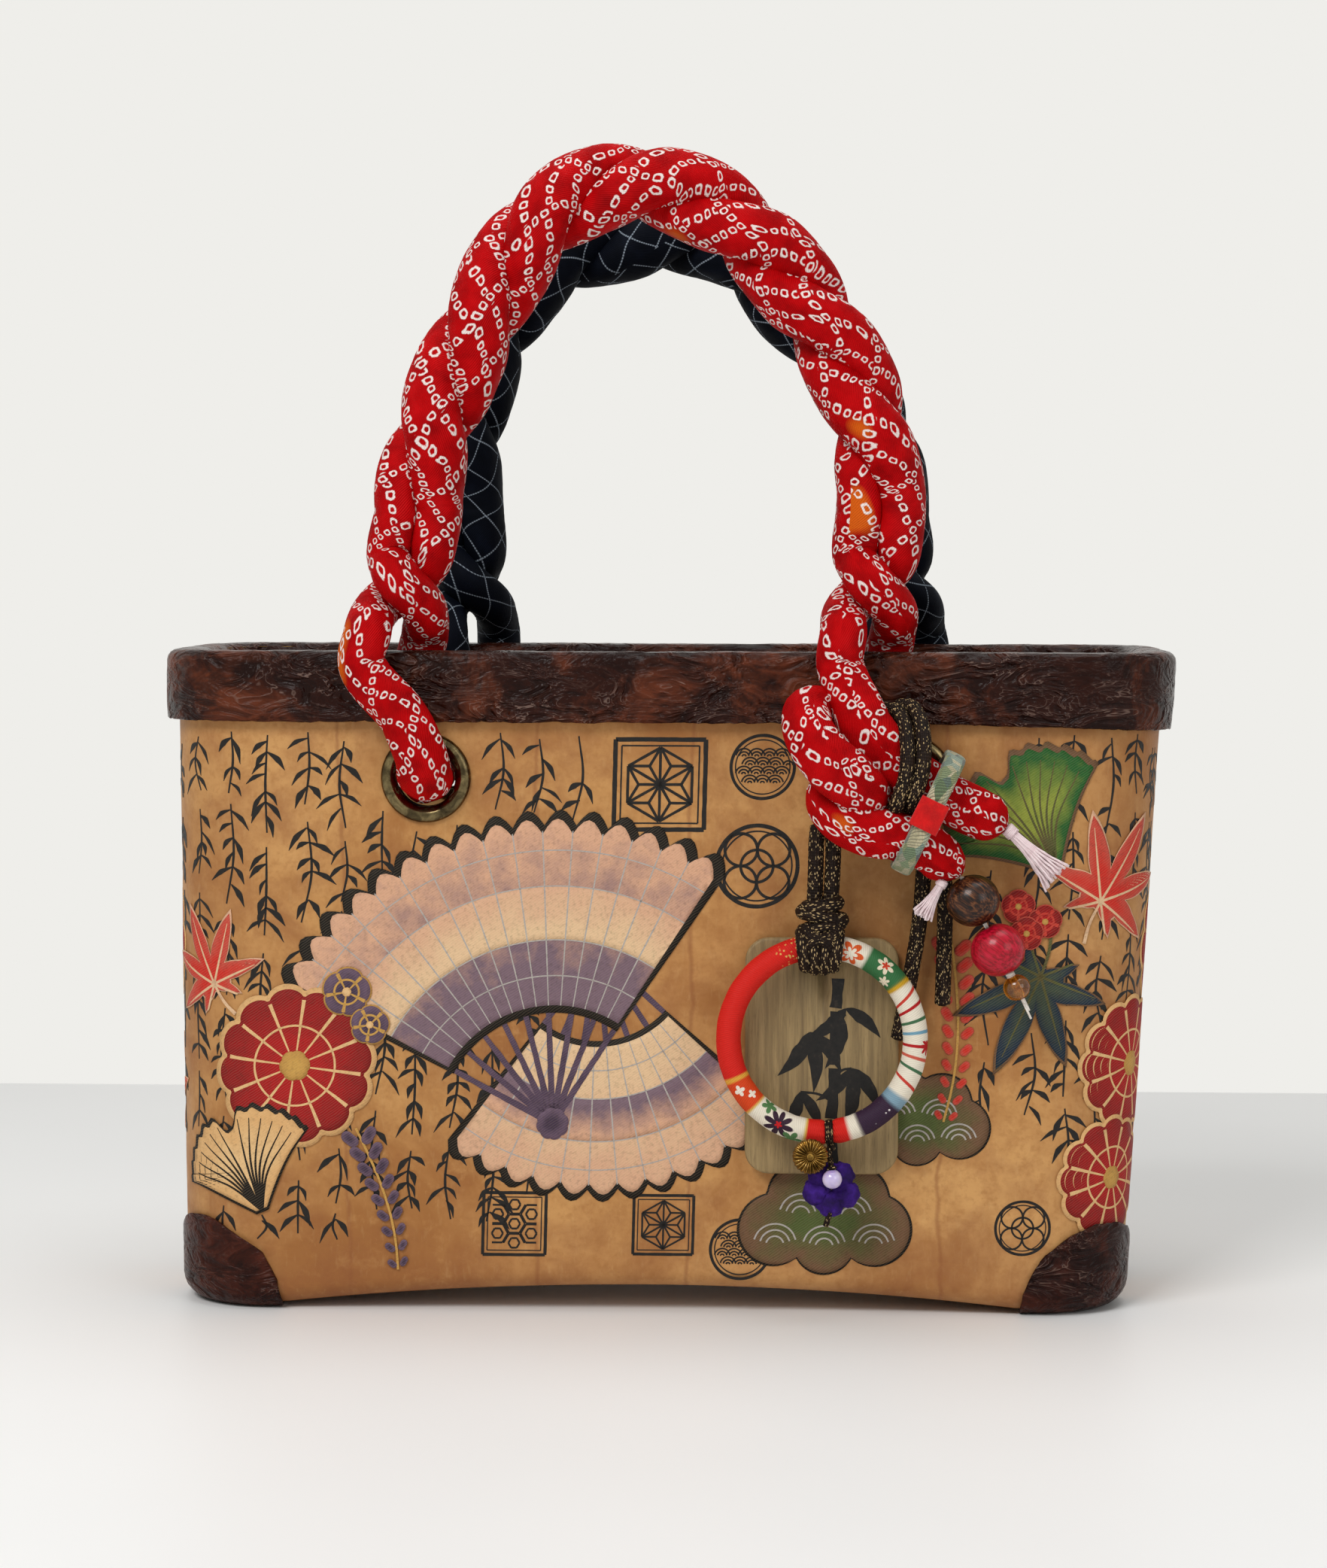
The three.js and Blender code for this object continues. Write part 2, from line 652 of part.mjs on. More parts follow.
// The outer end comes down in front of the wall, bends right in the middle layer and ends in tail A
function knotOuter({ knotHingeX, knotRimX }) {
  const layer = -eyeletWall - KNOT_MIDDLE;
  const x = EYELET_X;
  const low = eyeletZ;
  return rope([
    ...footStations(knotHingeX, knotRimX, OUTSIDE),
    [x - 18, layer + 1, low + 27, 6, 7],
    [x - 13, layer - 2.2, low + 16.5, KNOT_THIN, KNOT_WIDE],
    [x - 4, layer, low + 6.5, KNOT_THIN, KNOT_WIDE],
    [x + 9, layer + 0.7, low - 2.5, KNOT_THIN, KNOT_WIDE],
    [x + 21, layer + 2, low - 9, 6.2, 7.2],
    [x + 28, layer + 3, low - 12.5, 5.8, 6.4],
    [x + 31, layer + 3, low - 14, 3, 3.2],
  ]);
}

// The inner end comes out of the right eyelet, winds twice round the outer end and ends in tail B
function knotInner({ knotHingeX, knotRimX }) {
  const wall = eyeletWall;
  const inner = rimMiddle - (rimOutside - rimInside) / 2 - STUB_RADIUS - 2 * CLEARANCE;
  const back = -wall - KNOT_BACK;
  const front = -wall - KNOT_FRONT;
  const wide = EYELET_BORE / 2 - BORE_ROOM - 2 * CLEARANCE;
  const thin = wide - 2 * CLEARANCE;
  const x = EYELET_X;
  const low = eyeletZ;
  return rope([
    ...footStations(knotHingeX, knotRimX, INSIDE),
    [x - 2, -inner, low + 20, STUB_RADIUS, STUB_RADIUS],
    [x, -inner - 0.5, low + 9, STUB_RADIUS, 7.4],
    [x, -wall + wallThickness + 4, low + 1.2, thin, wide],
    [x, -wall + wallThickness / 2, low, thin, wide],
    [x - 0.5, -wall - 3.4, low + 0.6, 6.2, 7.2],
    [x - 5, back + 0.6, low + 4, KNOT_THIN, 7],
    [x - 13, back, low + 10, KNOT_THIN, 7],
    [x - 22, back - 2, low + 17, KNOT_THIN, 7],
    [x - 31.5, back - 6, low + 22.5, KNOT_THIN, 7],
    [x - 36, back - 12.5, low + 23.5, KNOT_THIN, KNOT_WIDE],
    [x - 36, front + 3.5, low + 18.5, KNOT_THIN, KNOT_WIDE],
    [x - 32.5, front, low + 11.5, KNOT_THIN, KNOT_WIDE],
    [x - 26, front, low + 5.5, KNOT_THIN, KNOT_WIDE],
    [x - 19.5, front + 0.8, low + 1, KNOT_THIN, KNOT_WIDE],
    [x - 15, front + 4.8, low - 2.8, KNOT_THIN, 7],
    [x - 13.6, (back + front) / 2, low - 6, KNOT_THIN, 6.4],
    [x - 15, back - 4, low - 8, KNOT_THIN, 6.4],
    [x - 20, back, low - 6.5, KNOT_THIN, 7],
    [x - 27, back - 1.4, low - 3.5, KNOT_THIN, 7],
    [x - 31.5, back - 6.5, low - 3.6, KNOT_THIN, 7],
    [x - 31.5, back - 12.5, low - 7.5, KNOT_THIN, 7],
    [x - 26, back - 16.5, low - 11.5, KNOT_THIN, 7],
    [x - 16, back - 17, low - 15, 5.6, 7],
    [x - 4, back - 15.5, low - 17.2, 6, 7],
    [x + 6.5, back - 13.5, low - 21.2, 6, 6.8],
    [x + 13.5, back - 12, low - 26.8, 5.2, 5.8],
    [x + 16.6, back - 11.5, low - 29.4, 2.6, 2.8],
  ]);
}

function buildHandle(name, handle, color, turn) {
  const pieces = [
    [`${name}_handle_strand_1`, archStrand(handle.arch, 0)],
    [`${name}_handle_strand_2`, archStrand(handle.arch, Math.PI)],
    [`${name}_handle_bight`, bight(handle)],
    [`${name}_knot_outer_end`, knotOuter(handle)],
    [`${name}_knot_inner_end`, knotInner(handle)],
  ];
  for (const [pieceName, geometry] of pieces) {
    addPiece(pieceName, geometry.rotateZ(turn), color, 0.9);
  }
}

// The arch of a handle is a list of x and the rise over the bending points
const frontHandle = {
  bightHingeX: -82.6,
  bightRimX: -91,
  knotHingeX: 70.8,
  knotRimX: 66,
  arch: [
    [-82.6, 0], [-82.3, 8], [-77, 28], [-69, 48], [-58, 70], [-44, 93], [-27, 104.5], [-11, 108],
    [6, 104.5], [24, 94], [42, 75], [56, 54.5], [66.5, 31], [70.7, 8], [70.8, 0],
  ],
};

const rearHandle = {
  bightHingeX: -75,
  bightRimX: -81,
  knotHingeX: 78,
  knotRimX: 74,
  arch: [
    [-75, 0], [-75, 9], [-73.4, 20], [-68, 36], [-58.5, 52], [-41, 73.5], [-16, 97],
    [17, 98.5], [46, 90], [63.5, 70], [75, 40], [77.9, 8], [78, 0],
  ],
};

// Everything that hangs at the front knot
function buildTassels() {
  const spread = [
    [0, 0], [2.2, 0.4], [2.4, 3], [1.7, 4.2], [TASSEL_WIDTH * 0.32, 8],
    [TASSEL_WIDTH / 2, TASSEL_LENGTH], [0, TASSEL_LENGTH + 1],
  ];
  const places = [
    ['tassel_a', TASSEL_A_PLACE, TASSEL_A_DIRECTION, 1],
    ['tassel_b', TASSEL_B_PLACE, TASSEL_B_DIRECTION, TASSEL_B_SCALE],
  ];
  for (const [name, at, direction, scale] of places) {
    const profile = spread.map(([r, y]) => new THREE.Vector2(r * Math.sqrt(scale), y * scale));
    const tassel = addPiece(name, new THREE.LatheGeometry(profile, TASSEL_SIDES), PALE_THREAD, 0.95);
    tassel.position.set(...atKnot(at));
    tassel.quaternion.setFromUnitVectors(BACK, new THREE.Vector3(...direction).normalize());
  }
}

// A closed band round both tails, and the wrap that draws its front together
function buildBand() {
  const middle = new THREE.Vector3(...atKnot(BAND_MIDDLE));
  const along = new THREE.Vector3(Math.sin(BAND_LEAN), 0, Math.cos(BAND_LEAN));
  const across = new THREE.Vector3().crossVectors(along, BACK);
  const rings = [];
  for (let i = 0; i < BAND_STEPS; i += 1) {
    const angle = 2 * Math.PI * i / BAND_STEPS;
    const square = (value) => Math.sign(value) * Math.abs(value) ** BAND_SQUARE;
    const slope = (value) => Math.sign(value) * Math.abs(value) ** (2 - BAND_SQUARE);
    const radial = along.clone().multiplyScalar(slope(Math.cos(angle)) * BAND_DEPTH);
    radial.addScaledVector(BACK, -slope(Math.sin(angle)) * BAND_LENGTH).normalize();
    const centre = middle.clone();
    centre.addScaledVector(along, BAND_LENGTH / 2 * square(Math.cos(angle)));
    centre.addScaledVector(BACK, -BAND_DEPTH / 2 * square(Math.sin(angle)));
    rings.push(ovalRing(centre, radial, across, BAND_THICKNESS / 2, BAND_WIDTH / 2));
  }
  addPiece('brocade_band', skin(rings, { loop: true }), BROCADE, 0.85);
  const front = middle.clone().addScaledVector(BACK, -BAND_DEPTH / 2);
  const ends = [-1, 1].map((end) => front.clone().addScaledVector(along, end * WRAP_LENGTH / 2));
  const inThin = BAND_THICKNESS / 2 + 2 * CLEARANCE;
  const inWide = BAND_WIDTH / 2 + CLEARANCE;
  const wrapRing = (end, extra) => ovalRing(end, BACK, across, inThin + extra, inWide + extra);
  const sleeve = [
    wrapRing(ends[0], WRAP_THICKNESS), wrapRing(ends[1], WRAP_THICKNESS),
    wrapRing(ends[1], 0), wrapRing(ends[0], 0),
  ];
  addPiece('red_wrap', skin(sleeve, { loop: true }), RED_FELT, 0.95);
}

// The charm cord is doubled over the tail of the outer end, and its two cut ends hang beside the knot
function buildCordEnds() {
  const width = CORD_DIAMETER - CLEARANCE;
  const hitch = HITCH_ROUTE.map((point) => [...atKnot(point), CORD_DIAMETER / 2, width]);
  addPiece('cord_hitch', rope(hitch, { step: CORD_STEP }), DARK_CORD, 0.9);
  addPiece('cord_tail_1', cord(TAIL_1_ROUTE.map(atKnot)), DARK_CORD, 0.9);
  addPiece('cord_tail_2', cord(TAIL_2_ROUTE.map(atKnot)), DARK_CORD, 0.9);
}

// Round beads on a thread that leaves the tip of tail B at a slant
function buildBeads() {
  const direction = new THREE.Vector3(Math.sin(BEAD_SLANT), 0, -Math.cos(BEAD_SLANT));
  const start = new THREE.Vector3(...atKnot(BEAD_START));
  const beads = [
    ['bead_brown', BEAD_BROWN, BROWN_WOOD],
    ['bead_red', BEAD_RED, RED_WOOD],
    ['bead_amber', BEAD_AMBER, AMBER],
  ];
  let along = CLEARANCE;
  for (const [name, diameter, color] of beads) {
    along += diameter / 2;
    const bead = addPiece(name, beadShape(diameter), color, 0.35);
    bead.position.copy(start).addScaledVector(direction, along);
    bead.quaternion.setFromUnitVectors(BACK, direction);
    along += diameter / 2 + CLEARANCE;
  }
  const end = start.clone().addScaledVector(direction, along + THREAD_END);
  addPiece('bead_thread', cord([start.toArray(), end.toArray()], THREAD_DIAMETER), WHITE_THREAD, 0.95);
}

// A bead is a ball with a hole along its axis
function beadShape(diameter) {
  const hole = BEAD_HOLE / 2;
  const top = Math.acos(2 * hole / diameter);
  const profile = [];
  for (let i = 0; i <= BEAD_ROWS; i += 1) {
    const angle = lerp(-top, top, i / BEAD_ROWS);
    profile.push([diameter / 2 * Math.cos(angle), diameter / 2 * Math.sin(angle)]);
  }
  return lathe(profile, BEAD_COLUMNS);
}

// Charms hang in one plane in front of the tag, which clears the wall as it swings
const charmX = EYELET_X + CHARM_OFFSET;
const charmTopZ = eyeletZ - CHARM_TOP_DROP;
const charmKnotZ = eyeletZ - CHARM_KNOT_DROP;
const ringZ = eyeletZ - RING_DROP;
const tagTop = eyeletZ - TAG_TOP_DROP;
const tagBottom = tagTop - TAG_HEIGHT;
const tagHoleZ = tagTop - TAG_HOLE_INSET;
const tagBack = halfDepth(charmTopZ) + CLEARANCE;
const tagFront = tagBack + TAG_THICKNESS;
const lashInside = RING_TUBE / 2 + CLEARANCE;
const lashOutside = lashInside + LASH_THICKNESS;
const charmPlane = tagFront + CORD_DIAMETER + 2 * CLEARANCE + RING_TUBE / 2;

function buildCharms() {
  const plane = -charmPlane;
  const ringMiddle = (RING_OUTER - RING_TUBE) / 2;
  const place = (x, z) => [charmX + x, plane, z];
  const knotTop = charmKnotZ + CHARM_KNOT_SIZE[2] / 2;
  const spacing = CORD_DIAMETER / 2 + CLEARANCE / 2;
  for (const [name, sideX] of [['charm_cord_left', -1], ['charm_cord_right', 1]]) {
    const full = CORD_DIAMETER / 2;
    const nip = CORD_NIP / 2;
    const stations = [
      [...place(sideX * (nip + CLEARANCE), charmTopZ), nip, nip],
      [...place(sideX * spacing, charmTopZ - CORD_SHOULDER), full, full],
      [...place(sideX * spacing, knotTop), full, full],
      [...place(sideX * spacing, knotTop - CORD_SEAT), full, full],
    ];
    addPiece(name, rope(stations, { step: CORD_STEP }), DARK_CORD, 0.9);
  }
  const ring = (tube) => {
    const torus = new THREE.TorusGeometry(ringMiddle, tube / 2, RING_SIDES, RING_STEPS);
    return torus.rotateX(Math.PI / 2).translate(...place(0, ringZ));
  };
  addPiece('fabric_ring', ring(RING_TUBE), PATCH_CLOTH, 0.9);
  addPiece('charm_knot', charmKnot(ring(RING_TUBE + 2 * CLEARANCE)), DARK_CORD, 0.9);
  addPiece('wooden_tag', woodenTag(), TAG_WOOD, 0.75);
  buildPendant(ringMiddle);
}

// A thread lashing at the bottom of the ring carries a gold flower, a pearl and a crepe flower
function buildPendant(ringMiddle) {
  const plane = -charmPlane;
  const outer = [];
  const inner = [];
  for (let i = 0; i <= LASH_STEPS; i += 1) {
    const angle = lerp(-LASH_ANGLE, LASH_ANGLE, i / LASH_STEPS);
    const radial = new THREE.Vector3(Math.sin(angle), 0, -Math.cos(angle));
    const centre = new THREE.Vector3(charmX, plane, ringZ).addScaledVector(radial, ringMiddle);
    outer.push(ovalRing(centre, radial, BACK, lashOutside, lashOutside));
    inner.unshift(ovalRing(centre, radial, BACK, lashInside, lashInside));
  }
  addPiece('ring_lash', skin([...outer, ...inner], { loop: true }), DARK_CORD, 0.9);

  const lashBottom = ringZ - ringMiddle - lashOutside;
  const [flowerWidth, flowerDepth, flowerHeight] = CREPE_FLOWER;
  const flowerX = charmX + CREPE_OFFSET;
  const flowerTop = lashBottom - PENDANT_DROP;
  const flowerZ = flowerTop - flowerHeight / 2;
  const thread = [[flowerX, plane, lashBottom - CLEARANCE], [flowerX, plane, flowerTop + CLEARANCE]];
  addPiece('pendant_thread', cord(thread, THREAD_DIAMETER), DARK_CORD, 0.9);
  const crepe = petalDisc(1, CREPE_PETALS, CREPE_WAVE, flowerDepth);
  crepe.scale(flowerWidth / 2, 1, flowerHeight / 2);
  addPiece('crepe_flower', crepe.translate(flowerX, plane - flowerDepth / 2, flowerZ), PURPLE_CREPE, 0.9);
  const pearlY = plane - flowerDepth / 2 - CLEARANCE - PEARL / 2;
  const pearlPlace = [flowerX + PEARL_OFFSET, pearlY, flowerZ + PEARL_RISE];
  addPiece('pearl', ellipsoid(pearlPlace, [PEARL / 2, PEARL / 2, PEARL / 2], 12, 8), PEARL_WHITE, 0.25);
  const gold = petalDisc(GOLD_FLOWER / 2, GOLD_PETALS, GOLD_WAVE, GOLD_DEPTH);
  const goldFront = plane - lashOutside - CLEARANCE - GOLD_DEPTH;
  gold.translate(charmX - GOLD_OFFSET, goldFront, ringZ - ringMiddle - GOLD_DROP);
  addPiece('gold_flower', gold, GOLD, 0.35, 1);
}

// A disc with a waved edge, from y = 0 back to its depth
function petalDisc(radius, petals, wave, depth) {
  const outlinePoints = [];
  const count = petals * PETAL_STEPS;
  for (let i = 0; i < count; i += 1) {
    const angle = 2 * Math.PI * i / count;
    const reach = radius * (1 - wave + wave * Math.abs(Math.cos(petals * angle / 2)));
    outlinePoints.push(new THREE.Vector2(reach * Math.cos(angle), reach * Math.sin(angle)));
  }
  const disc = new THREE.ExtrudeGeometry(new THREE.Shape(outlinePoints), { depth, bevelEnabled: false });
  return disc.rotateX(Math.PI / 2).translate(0, depth, 0);
}

// The double knot over the top of the ring, with the loop that carries the tag behind it
function charmKnot(ringRoom) {
  const [width, depth, height] = CHARM_KNOT_SIZE;
  const ball = ellipsoid([charmX, -charmPlane, charmKnotZ], [width / 2, depth / 2, height / 2]);
  const behind = new THREE.BoxGeometry(TAG_WIDTH, depth, TAG_HEIGHT);
  behind.translate(charmX, -tagFront - CLEARANCE + depth / 2, charmKnotZ);
  const pinLength = charmPlane - tagBack;
  const pin = new THREE.CylinderGeometry(TAG_PIN / 2, TAG_PIN / 2, pinLength, PIN_SIDES);
  pin.translate(charmX, -tagBack - pinLength / 2, tagHoleZ);
  const cordRadius = CORD_DIAMETER / 2 + CLEARANCE;
  const cordRooms = [-1, 1].map((sideX) => {
    const drill = new THREE.CylinderGeometry(cordRadius, cordRadius, CORD_ROOM, CORD_SIDES);
    drill.rotateX(Math.PI / 2);
    const across = sideX * (CORD_DIAMETER + CLEARANCE) / 2;
    const bottom = charmKnotZ + height / 2 - CORD_SEAT - CLEARANCE;
    return drill.translate(charmX + across, -charmPlane, bottom + CORD_ROOM / 2);
  });
  const body = toSolid(cut(ball, behind)).add(toSolid(pin));
  return cut(fromSolid(body), ringRoom, ...cordRooms);
}

function woodenTag() {
  const half = TAG_WIDTH / 2;
  const shape = new THREE.Shape();
  shape.moveTo(-half + TAG_CORNER, tagBottom);
  shape.lineTo(half - TAG_CORNER, tagBottom);
  shape.absarc(half - TAG_CORNER, tagBottom + TAG_CORNER, TAG_CORNER, -Math.PI / 2, 0);
  shape.absarc(half - TAG_CORNER, tagTop - TAG_CORNER, TAG_CORNER, 0, Math.PI / 2);
  shape.absarc(-half + TAG_CORNER, tagTop - TAG_CORNER, TAG_CORNER, Math.PI / 2, Math.PI);
  shape.absarc(-half + TAG_CORNER, tagBottom + TAG_CORNER, TAG_CORNER, Math.PI, Math.PI * 1.5);
  const hole = new THREE.Path();
  hole.absarc(0, tagHoleZ, TAG_HOLE / 2, 0, Math.PI * 2, true);
  shape.holes.push(hole);
  const settings = { depth: TAG_THICKNESS, bevelEnabled: false, curveSegments: TAG_CORNER_STEPS };
  const tag = new THREE.ExtrudeGeometry(shape, settings).rotateX(Math.PI / 2);
  return tag.translate(charmX, -tagBack, 0);
}

buildBasket();
buildRim();
buildGuards();
buildEyelets();
buildHandle('front', frontHandle, RED_CLOTH, 0);
buildHandle('rear', rearHandle, NAVY_CLOTH, Math.PI);
buildTassels();
buildBand();
buildCordEnds();
buildBeads();
buildCharms();

export default bag;
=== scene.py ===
"""Looks of the papered basket bag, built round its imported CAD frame.

Sizes are in millimetres until a mesh is made.
"""
import json
import math
import random

import bmesh
import bpy
import numpy as np
from mathutils import Matrix, Vector, noise

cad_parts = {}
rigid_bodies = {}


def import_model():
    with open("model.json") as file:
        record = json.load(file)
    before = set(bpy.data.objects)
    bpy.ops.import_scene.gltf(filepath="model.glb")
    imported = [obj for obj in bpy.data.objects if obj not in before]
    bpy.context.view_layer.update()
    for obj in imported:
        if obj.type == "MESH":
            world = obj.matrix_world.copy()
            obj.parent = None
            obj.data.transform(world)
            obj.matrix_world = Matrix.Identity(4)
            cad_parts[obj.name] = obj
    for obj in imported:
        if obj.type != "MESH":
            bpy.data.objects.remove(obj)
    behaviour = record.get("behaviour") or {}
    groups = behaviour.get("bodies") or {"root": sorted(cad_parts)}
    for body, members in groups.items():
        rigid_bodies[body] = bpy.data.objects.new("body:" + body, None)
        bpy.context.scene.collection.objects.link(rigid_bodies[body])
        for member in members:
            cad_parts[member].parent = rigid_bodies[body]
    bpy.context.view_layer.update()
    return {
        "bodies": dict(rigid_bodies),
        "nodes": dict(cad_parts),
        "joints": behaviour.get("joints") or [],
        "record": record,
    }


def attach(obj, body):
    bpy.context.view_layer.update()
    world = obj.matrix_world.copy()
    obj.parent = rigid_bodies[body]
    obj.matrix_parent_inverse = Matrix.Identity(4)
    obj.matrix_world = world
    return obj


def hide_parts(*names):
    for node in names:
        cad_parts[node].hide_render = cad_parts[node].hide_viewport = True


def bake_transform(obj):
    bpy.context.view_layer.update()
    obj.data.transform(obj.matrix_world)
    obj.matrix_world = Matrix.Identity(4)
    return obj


MM = 0.001
TO_FRONT = np.array((0, -1, 0))

# Camera, fitted to the photograph
PHOTO_HEIGHT = 2084
FOCAL_PIXELS = 5001
SENSOR = 36
CAMERA_PLACE = (49.6, -1301.3, 255.1)
CAMERA_YAW = math.radians(-2.32)
CAMERA_PITCH = math.radians(-3.53)
CAMERA_ROLL = math.radians(0.11)

# Body
RIM_TOP = 222
BODY_TOP = (334, 113)
BODY_BASE = (320, 105)
BASE_SHIFT = -5.5
CORNER_RADIUS = 30
EDGE_RADIUS = 7
BASE_ARCH = 7
BODY_BOTTOM = 1.5
WALL_TOP = 220.9
SKIN_THICK = 0.7
LINING_OUT = -3.8
LINING_IN = -4.6
RIM_BOTTOM = 199
RIM_OUT = 3.8
RIM_IN = -8.4
RIM_MIDDLE = 54.2
GUARD = (36, 36, 32)
GUARD_OUT = 1.5
GUARD_IN = 0.3
EYELET_X = 80
EYELET_Z = 180
EYELET_HOLE = 10.9
WALL_TILT = math.atan(4 / RIM_TOP)
UNEVEN = 0.45

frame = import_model()


# Colour and shader helpers
def tone(code):
    """Linear colour of a hexadecimal sRGB code."""
    parts = [int(code[i:i + 2], 16) / 255 for i in (0, 2, 4)]
    return tuple(c / 12.92 if c <= 0.04045 else ((c + 0.055) / 1.055) ** 2.4 for c in parts) + (1,)


class Look:
    """A procedural material in the making, with short calls for the nodes that it uses."""

    def __init__(self, name, **sockets):
        self.material = bpy.data.materials.new(name)
        self.material.use_nodes = True
        self.tree = self.material.node_tree
        self.shader = self.tree.nodes["Principled BSDF"]
        for key, value in sockets.items():
            self.shader.inputs[key.replace("_", " ")].default_value = value
        self.place = self.add("TexCoord").outputs["Object"]

    def add(self, kind, inputs=None, **settings):
        node = self.tree.nodes.new("ShaderNode" + kind)
        for key, value in settings.items():
            setattr(node, key, value)
        for key, value in (inputs or {}).items():
            if isinstance(value, bpy.types.NodeSocket):
                self.tree.links.new(value, node.inputs[key])
            else:
                node.inputs[key].default_value = value
        return node

    def uv(self):
        return self.add("UVMap", uv_map="cloth").outputs["UV"]

    def moved(self, vector, scale=(1, 1, 1), turn=(0, 0, 0), shift=(0, 0, 0)):
        inputs = {"Vector": vector, "Scale": scale, "Rotation": turn, "Location": shift}
        return self.add("Mapping", inputs).outputs["Vector"]

    def noise(self, vector, scale, detail=4, rough=0.55, distortion=0.0):
        inputs = {
            "Vector": vector, "Scale": scale, "Detail": detail, "Roughness": rough, "Distortion": distortion,
        }
        return self.add("TexNoise", inputs).outputs["Fac"]

    def cells(self, vector, scale, feature="F1", output="Distance"):
        return self.add("TexVoronoi", {"Vector": vector, "Scale": scale}, feature=feature).outputs[output]

    def wave(self, vector, scale, distortion=0.0, detail=2, axis="X"):
        inputs = {"Vector": vector, "Scale": scale, "Distortion": distortion, "Detail": detail}
        return self.add("TexWave", inputs, bands_direction=axis).outputs["Fac"]

    def math(self, operation, a, b=0.0, c=0.0):
        return self.add("Math", {0: a, 1: b, 2: c}, operation=operation).outputs[0]

    def times_plus(self, a, b, c):
        return self.math("MULTIPLY_ADD", a, b, c)

    def plus(self, a, b):
        return self.math("ADD", a, b)

    def minus(self, a, b):
        return self.math("SUBTRACT", a, b)

    def times(self, a, b):
        return self.math("MULTIPLY", a, b)

    def over(self, a, b):
        return self.math("DIVIDE", a, b)

    def most(self, a, b):
        return self.math("MAXIMUM", a, b)

    def absolute(self, a):
        return self.math("ABSOLUTE", a)

    def fraction(self, a):
        return self.math("FRACT", a)

    def ramp(self, fac, *stops):
        """Colour by a value. Each stop is a position and a colour code."""
        node = self.add("ValToRGB", {"Fac": fac})
        elements = node.color_ramp.elements
        while len(elements) < len(stops):
            elements.new(0.5)
        for element, (at, code) in zip(elements, stops):
            element.position = at
            element.color = tone(code)
        return node.outputs["Color"]

    def level(self, value, low, high, to_low=0.0, to_high=1.0):
        inputs = {0: value, 1: low, 2: high, 3: to_low, 4: to_high}
        return self.add("MapRange", inputs).outputs[0]

    def mix(self, fac, color, code):
        """A colour with another, given by its code, laid over it in part."""
        node = self.add("Mix", data_type="RGBA")
        self.tree.links.new(fac, node.inputs[0])
        self.tree.links.new(color, node.inputs[6])
        node.inputs[7].default_value = tone(code)
        return node.outputs[2]

    def stain(self, color, code, value, low, high, amount=1.0):
        """A colour with another over it as a value goes from low to high."""
        return self.mix(self.level(value, low, high, 0.0, amount), color, code)

    def axes(self, vector):
        node = self.add("SeparateXYZ", {0: vector})
        return node.outputs[0], node.outputs[1], node.outputs[2]

    def joined(self, x, y):
        return self.add("CombineXYZ", {0: x, 1: y}).outputs[0]

    def bump(self, height, strength, distance=0.0005, below=None):
        inputs = {"Height": height, "Strength": strength, "Distance": distance}
        if below is not None:
            inputs["Normal"] = below
        return self.add("Bump", inputs).outputs["Normal"]

    def finish(self, color=None, rough=None, normal=None):
        for value, socket in ((color, "Base Color"), (rough, "Roughness"), (normal, "Normal")):
            if value is not None:
                self.tree.links.new(value, self.shader.inputs[socket])
        return self.material


# Mesh helpers
def mesh_object(name, points, faces, material, uv=None, smooth=True):
    """A mesh from points in millimetres, with its faces turned outward.

    uv has one list of pairs for each face.
    """
    mesh = bpy.data.meshes.new(name)
    mesh.from_pydata((np.asarray(points, float) * MM).tolist(), [], faces)
    if uv is not None:
        layer = mesh.uv_layers.new(name="cloth")
        layer.uv.foreach_set("vector", np.array([pair for face in uv for pair in face], np.float32).ravel())
    work = bmesh.new()
    work.from_mesh(mesh)
    bmesh.ops.recalc_face_normals(work, faces=work.faces)
    work.to_mesh(mesh)
    work.free()
    if smooth:
        mesh.shade_smooth()
    mesh.materials.append(material)
    piece = bpy.data.objects.new(name, mesh)
    bpy.context.scene.collection.objects.link(piece)
    return piece


def loft(name, rings, material, loop=False, uv=None):
    """A mesh through rings of points, each closed, that is capped at both ends or joined end to end."""
    rings = np.asarray(rings, float)
    rows, columns = rings.shape[:2]
    faces = []
    places = []
    for i in range(rows if loop else rows - 1):
        k = (i + 1) % rows
        for j in range(columns):
            m = (j + 1) % columns
            faces.append((i * columns + j, i * columns + m, k * columns + m, k * columns + j))
            if uv is not None:
                places.append([uv[i][j], uv[i][j + 1], uv[i + 1][j + 1], uv[i + 1][j]])
    points = list(rings.reshape(-1, 3))
    if not loop:
        for row in (0, rows - 1):
            points.append(rings[row].mean(0))
            for j in range(columns):
                m = (j + 1) % columns
                faces.append((row * columns + j, row * columns + m, len(points) - 1))
                if uv is not None:
                    places.append([uv[row][j], uv[row][j + 1], uv[row][j]])
    return mesh_object(name, points, faces, material, places if uv is not None else None)


def lathe(name, profile, material, segments=64, loop=True):
    """A surface of revolution round +Y through a profile of radius and height.

    The profile is closed as a ring, or its two ends are capped.
    """
    turns = np.arange(segments) * 2 * math.pi / segments
    rings = [[(r * math.cos(a), y, r * math.sin(a)) for a in turns] for r, y in profile]
    return loft(name, rings, material, loop=loop)


def carve(piece, cutter, operation="DIFFERENCE"):
    """Cuts a mesh by another, which is then removed."""
    change = piece.modifiers.new("cut", "BOOLEAN")
    change.object = cutter
    change.operation = operation
    change.solver = "EXACT"
    shape = piece.evaluated_get(bpy.context.evaluated_depsgraph_get())
    piece.data = bpy.data.meshes.new_from_object(shape)
    piece.modifiers.clear()
    bpy.data.objects.remove(cutter)
    piece.data.shade_smooth()
    return piece


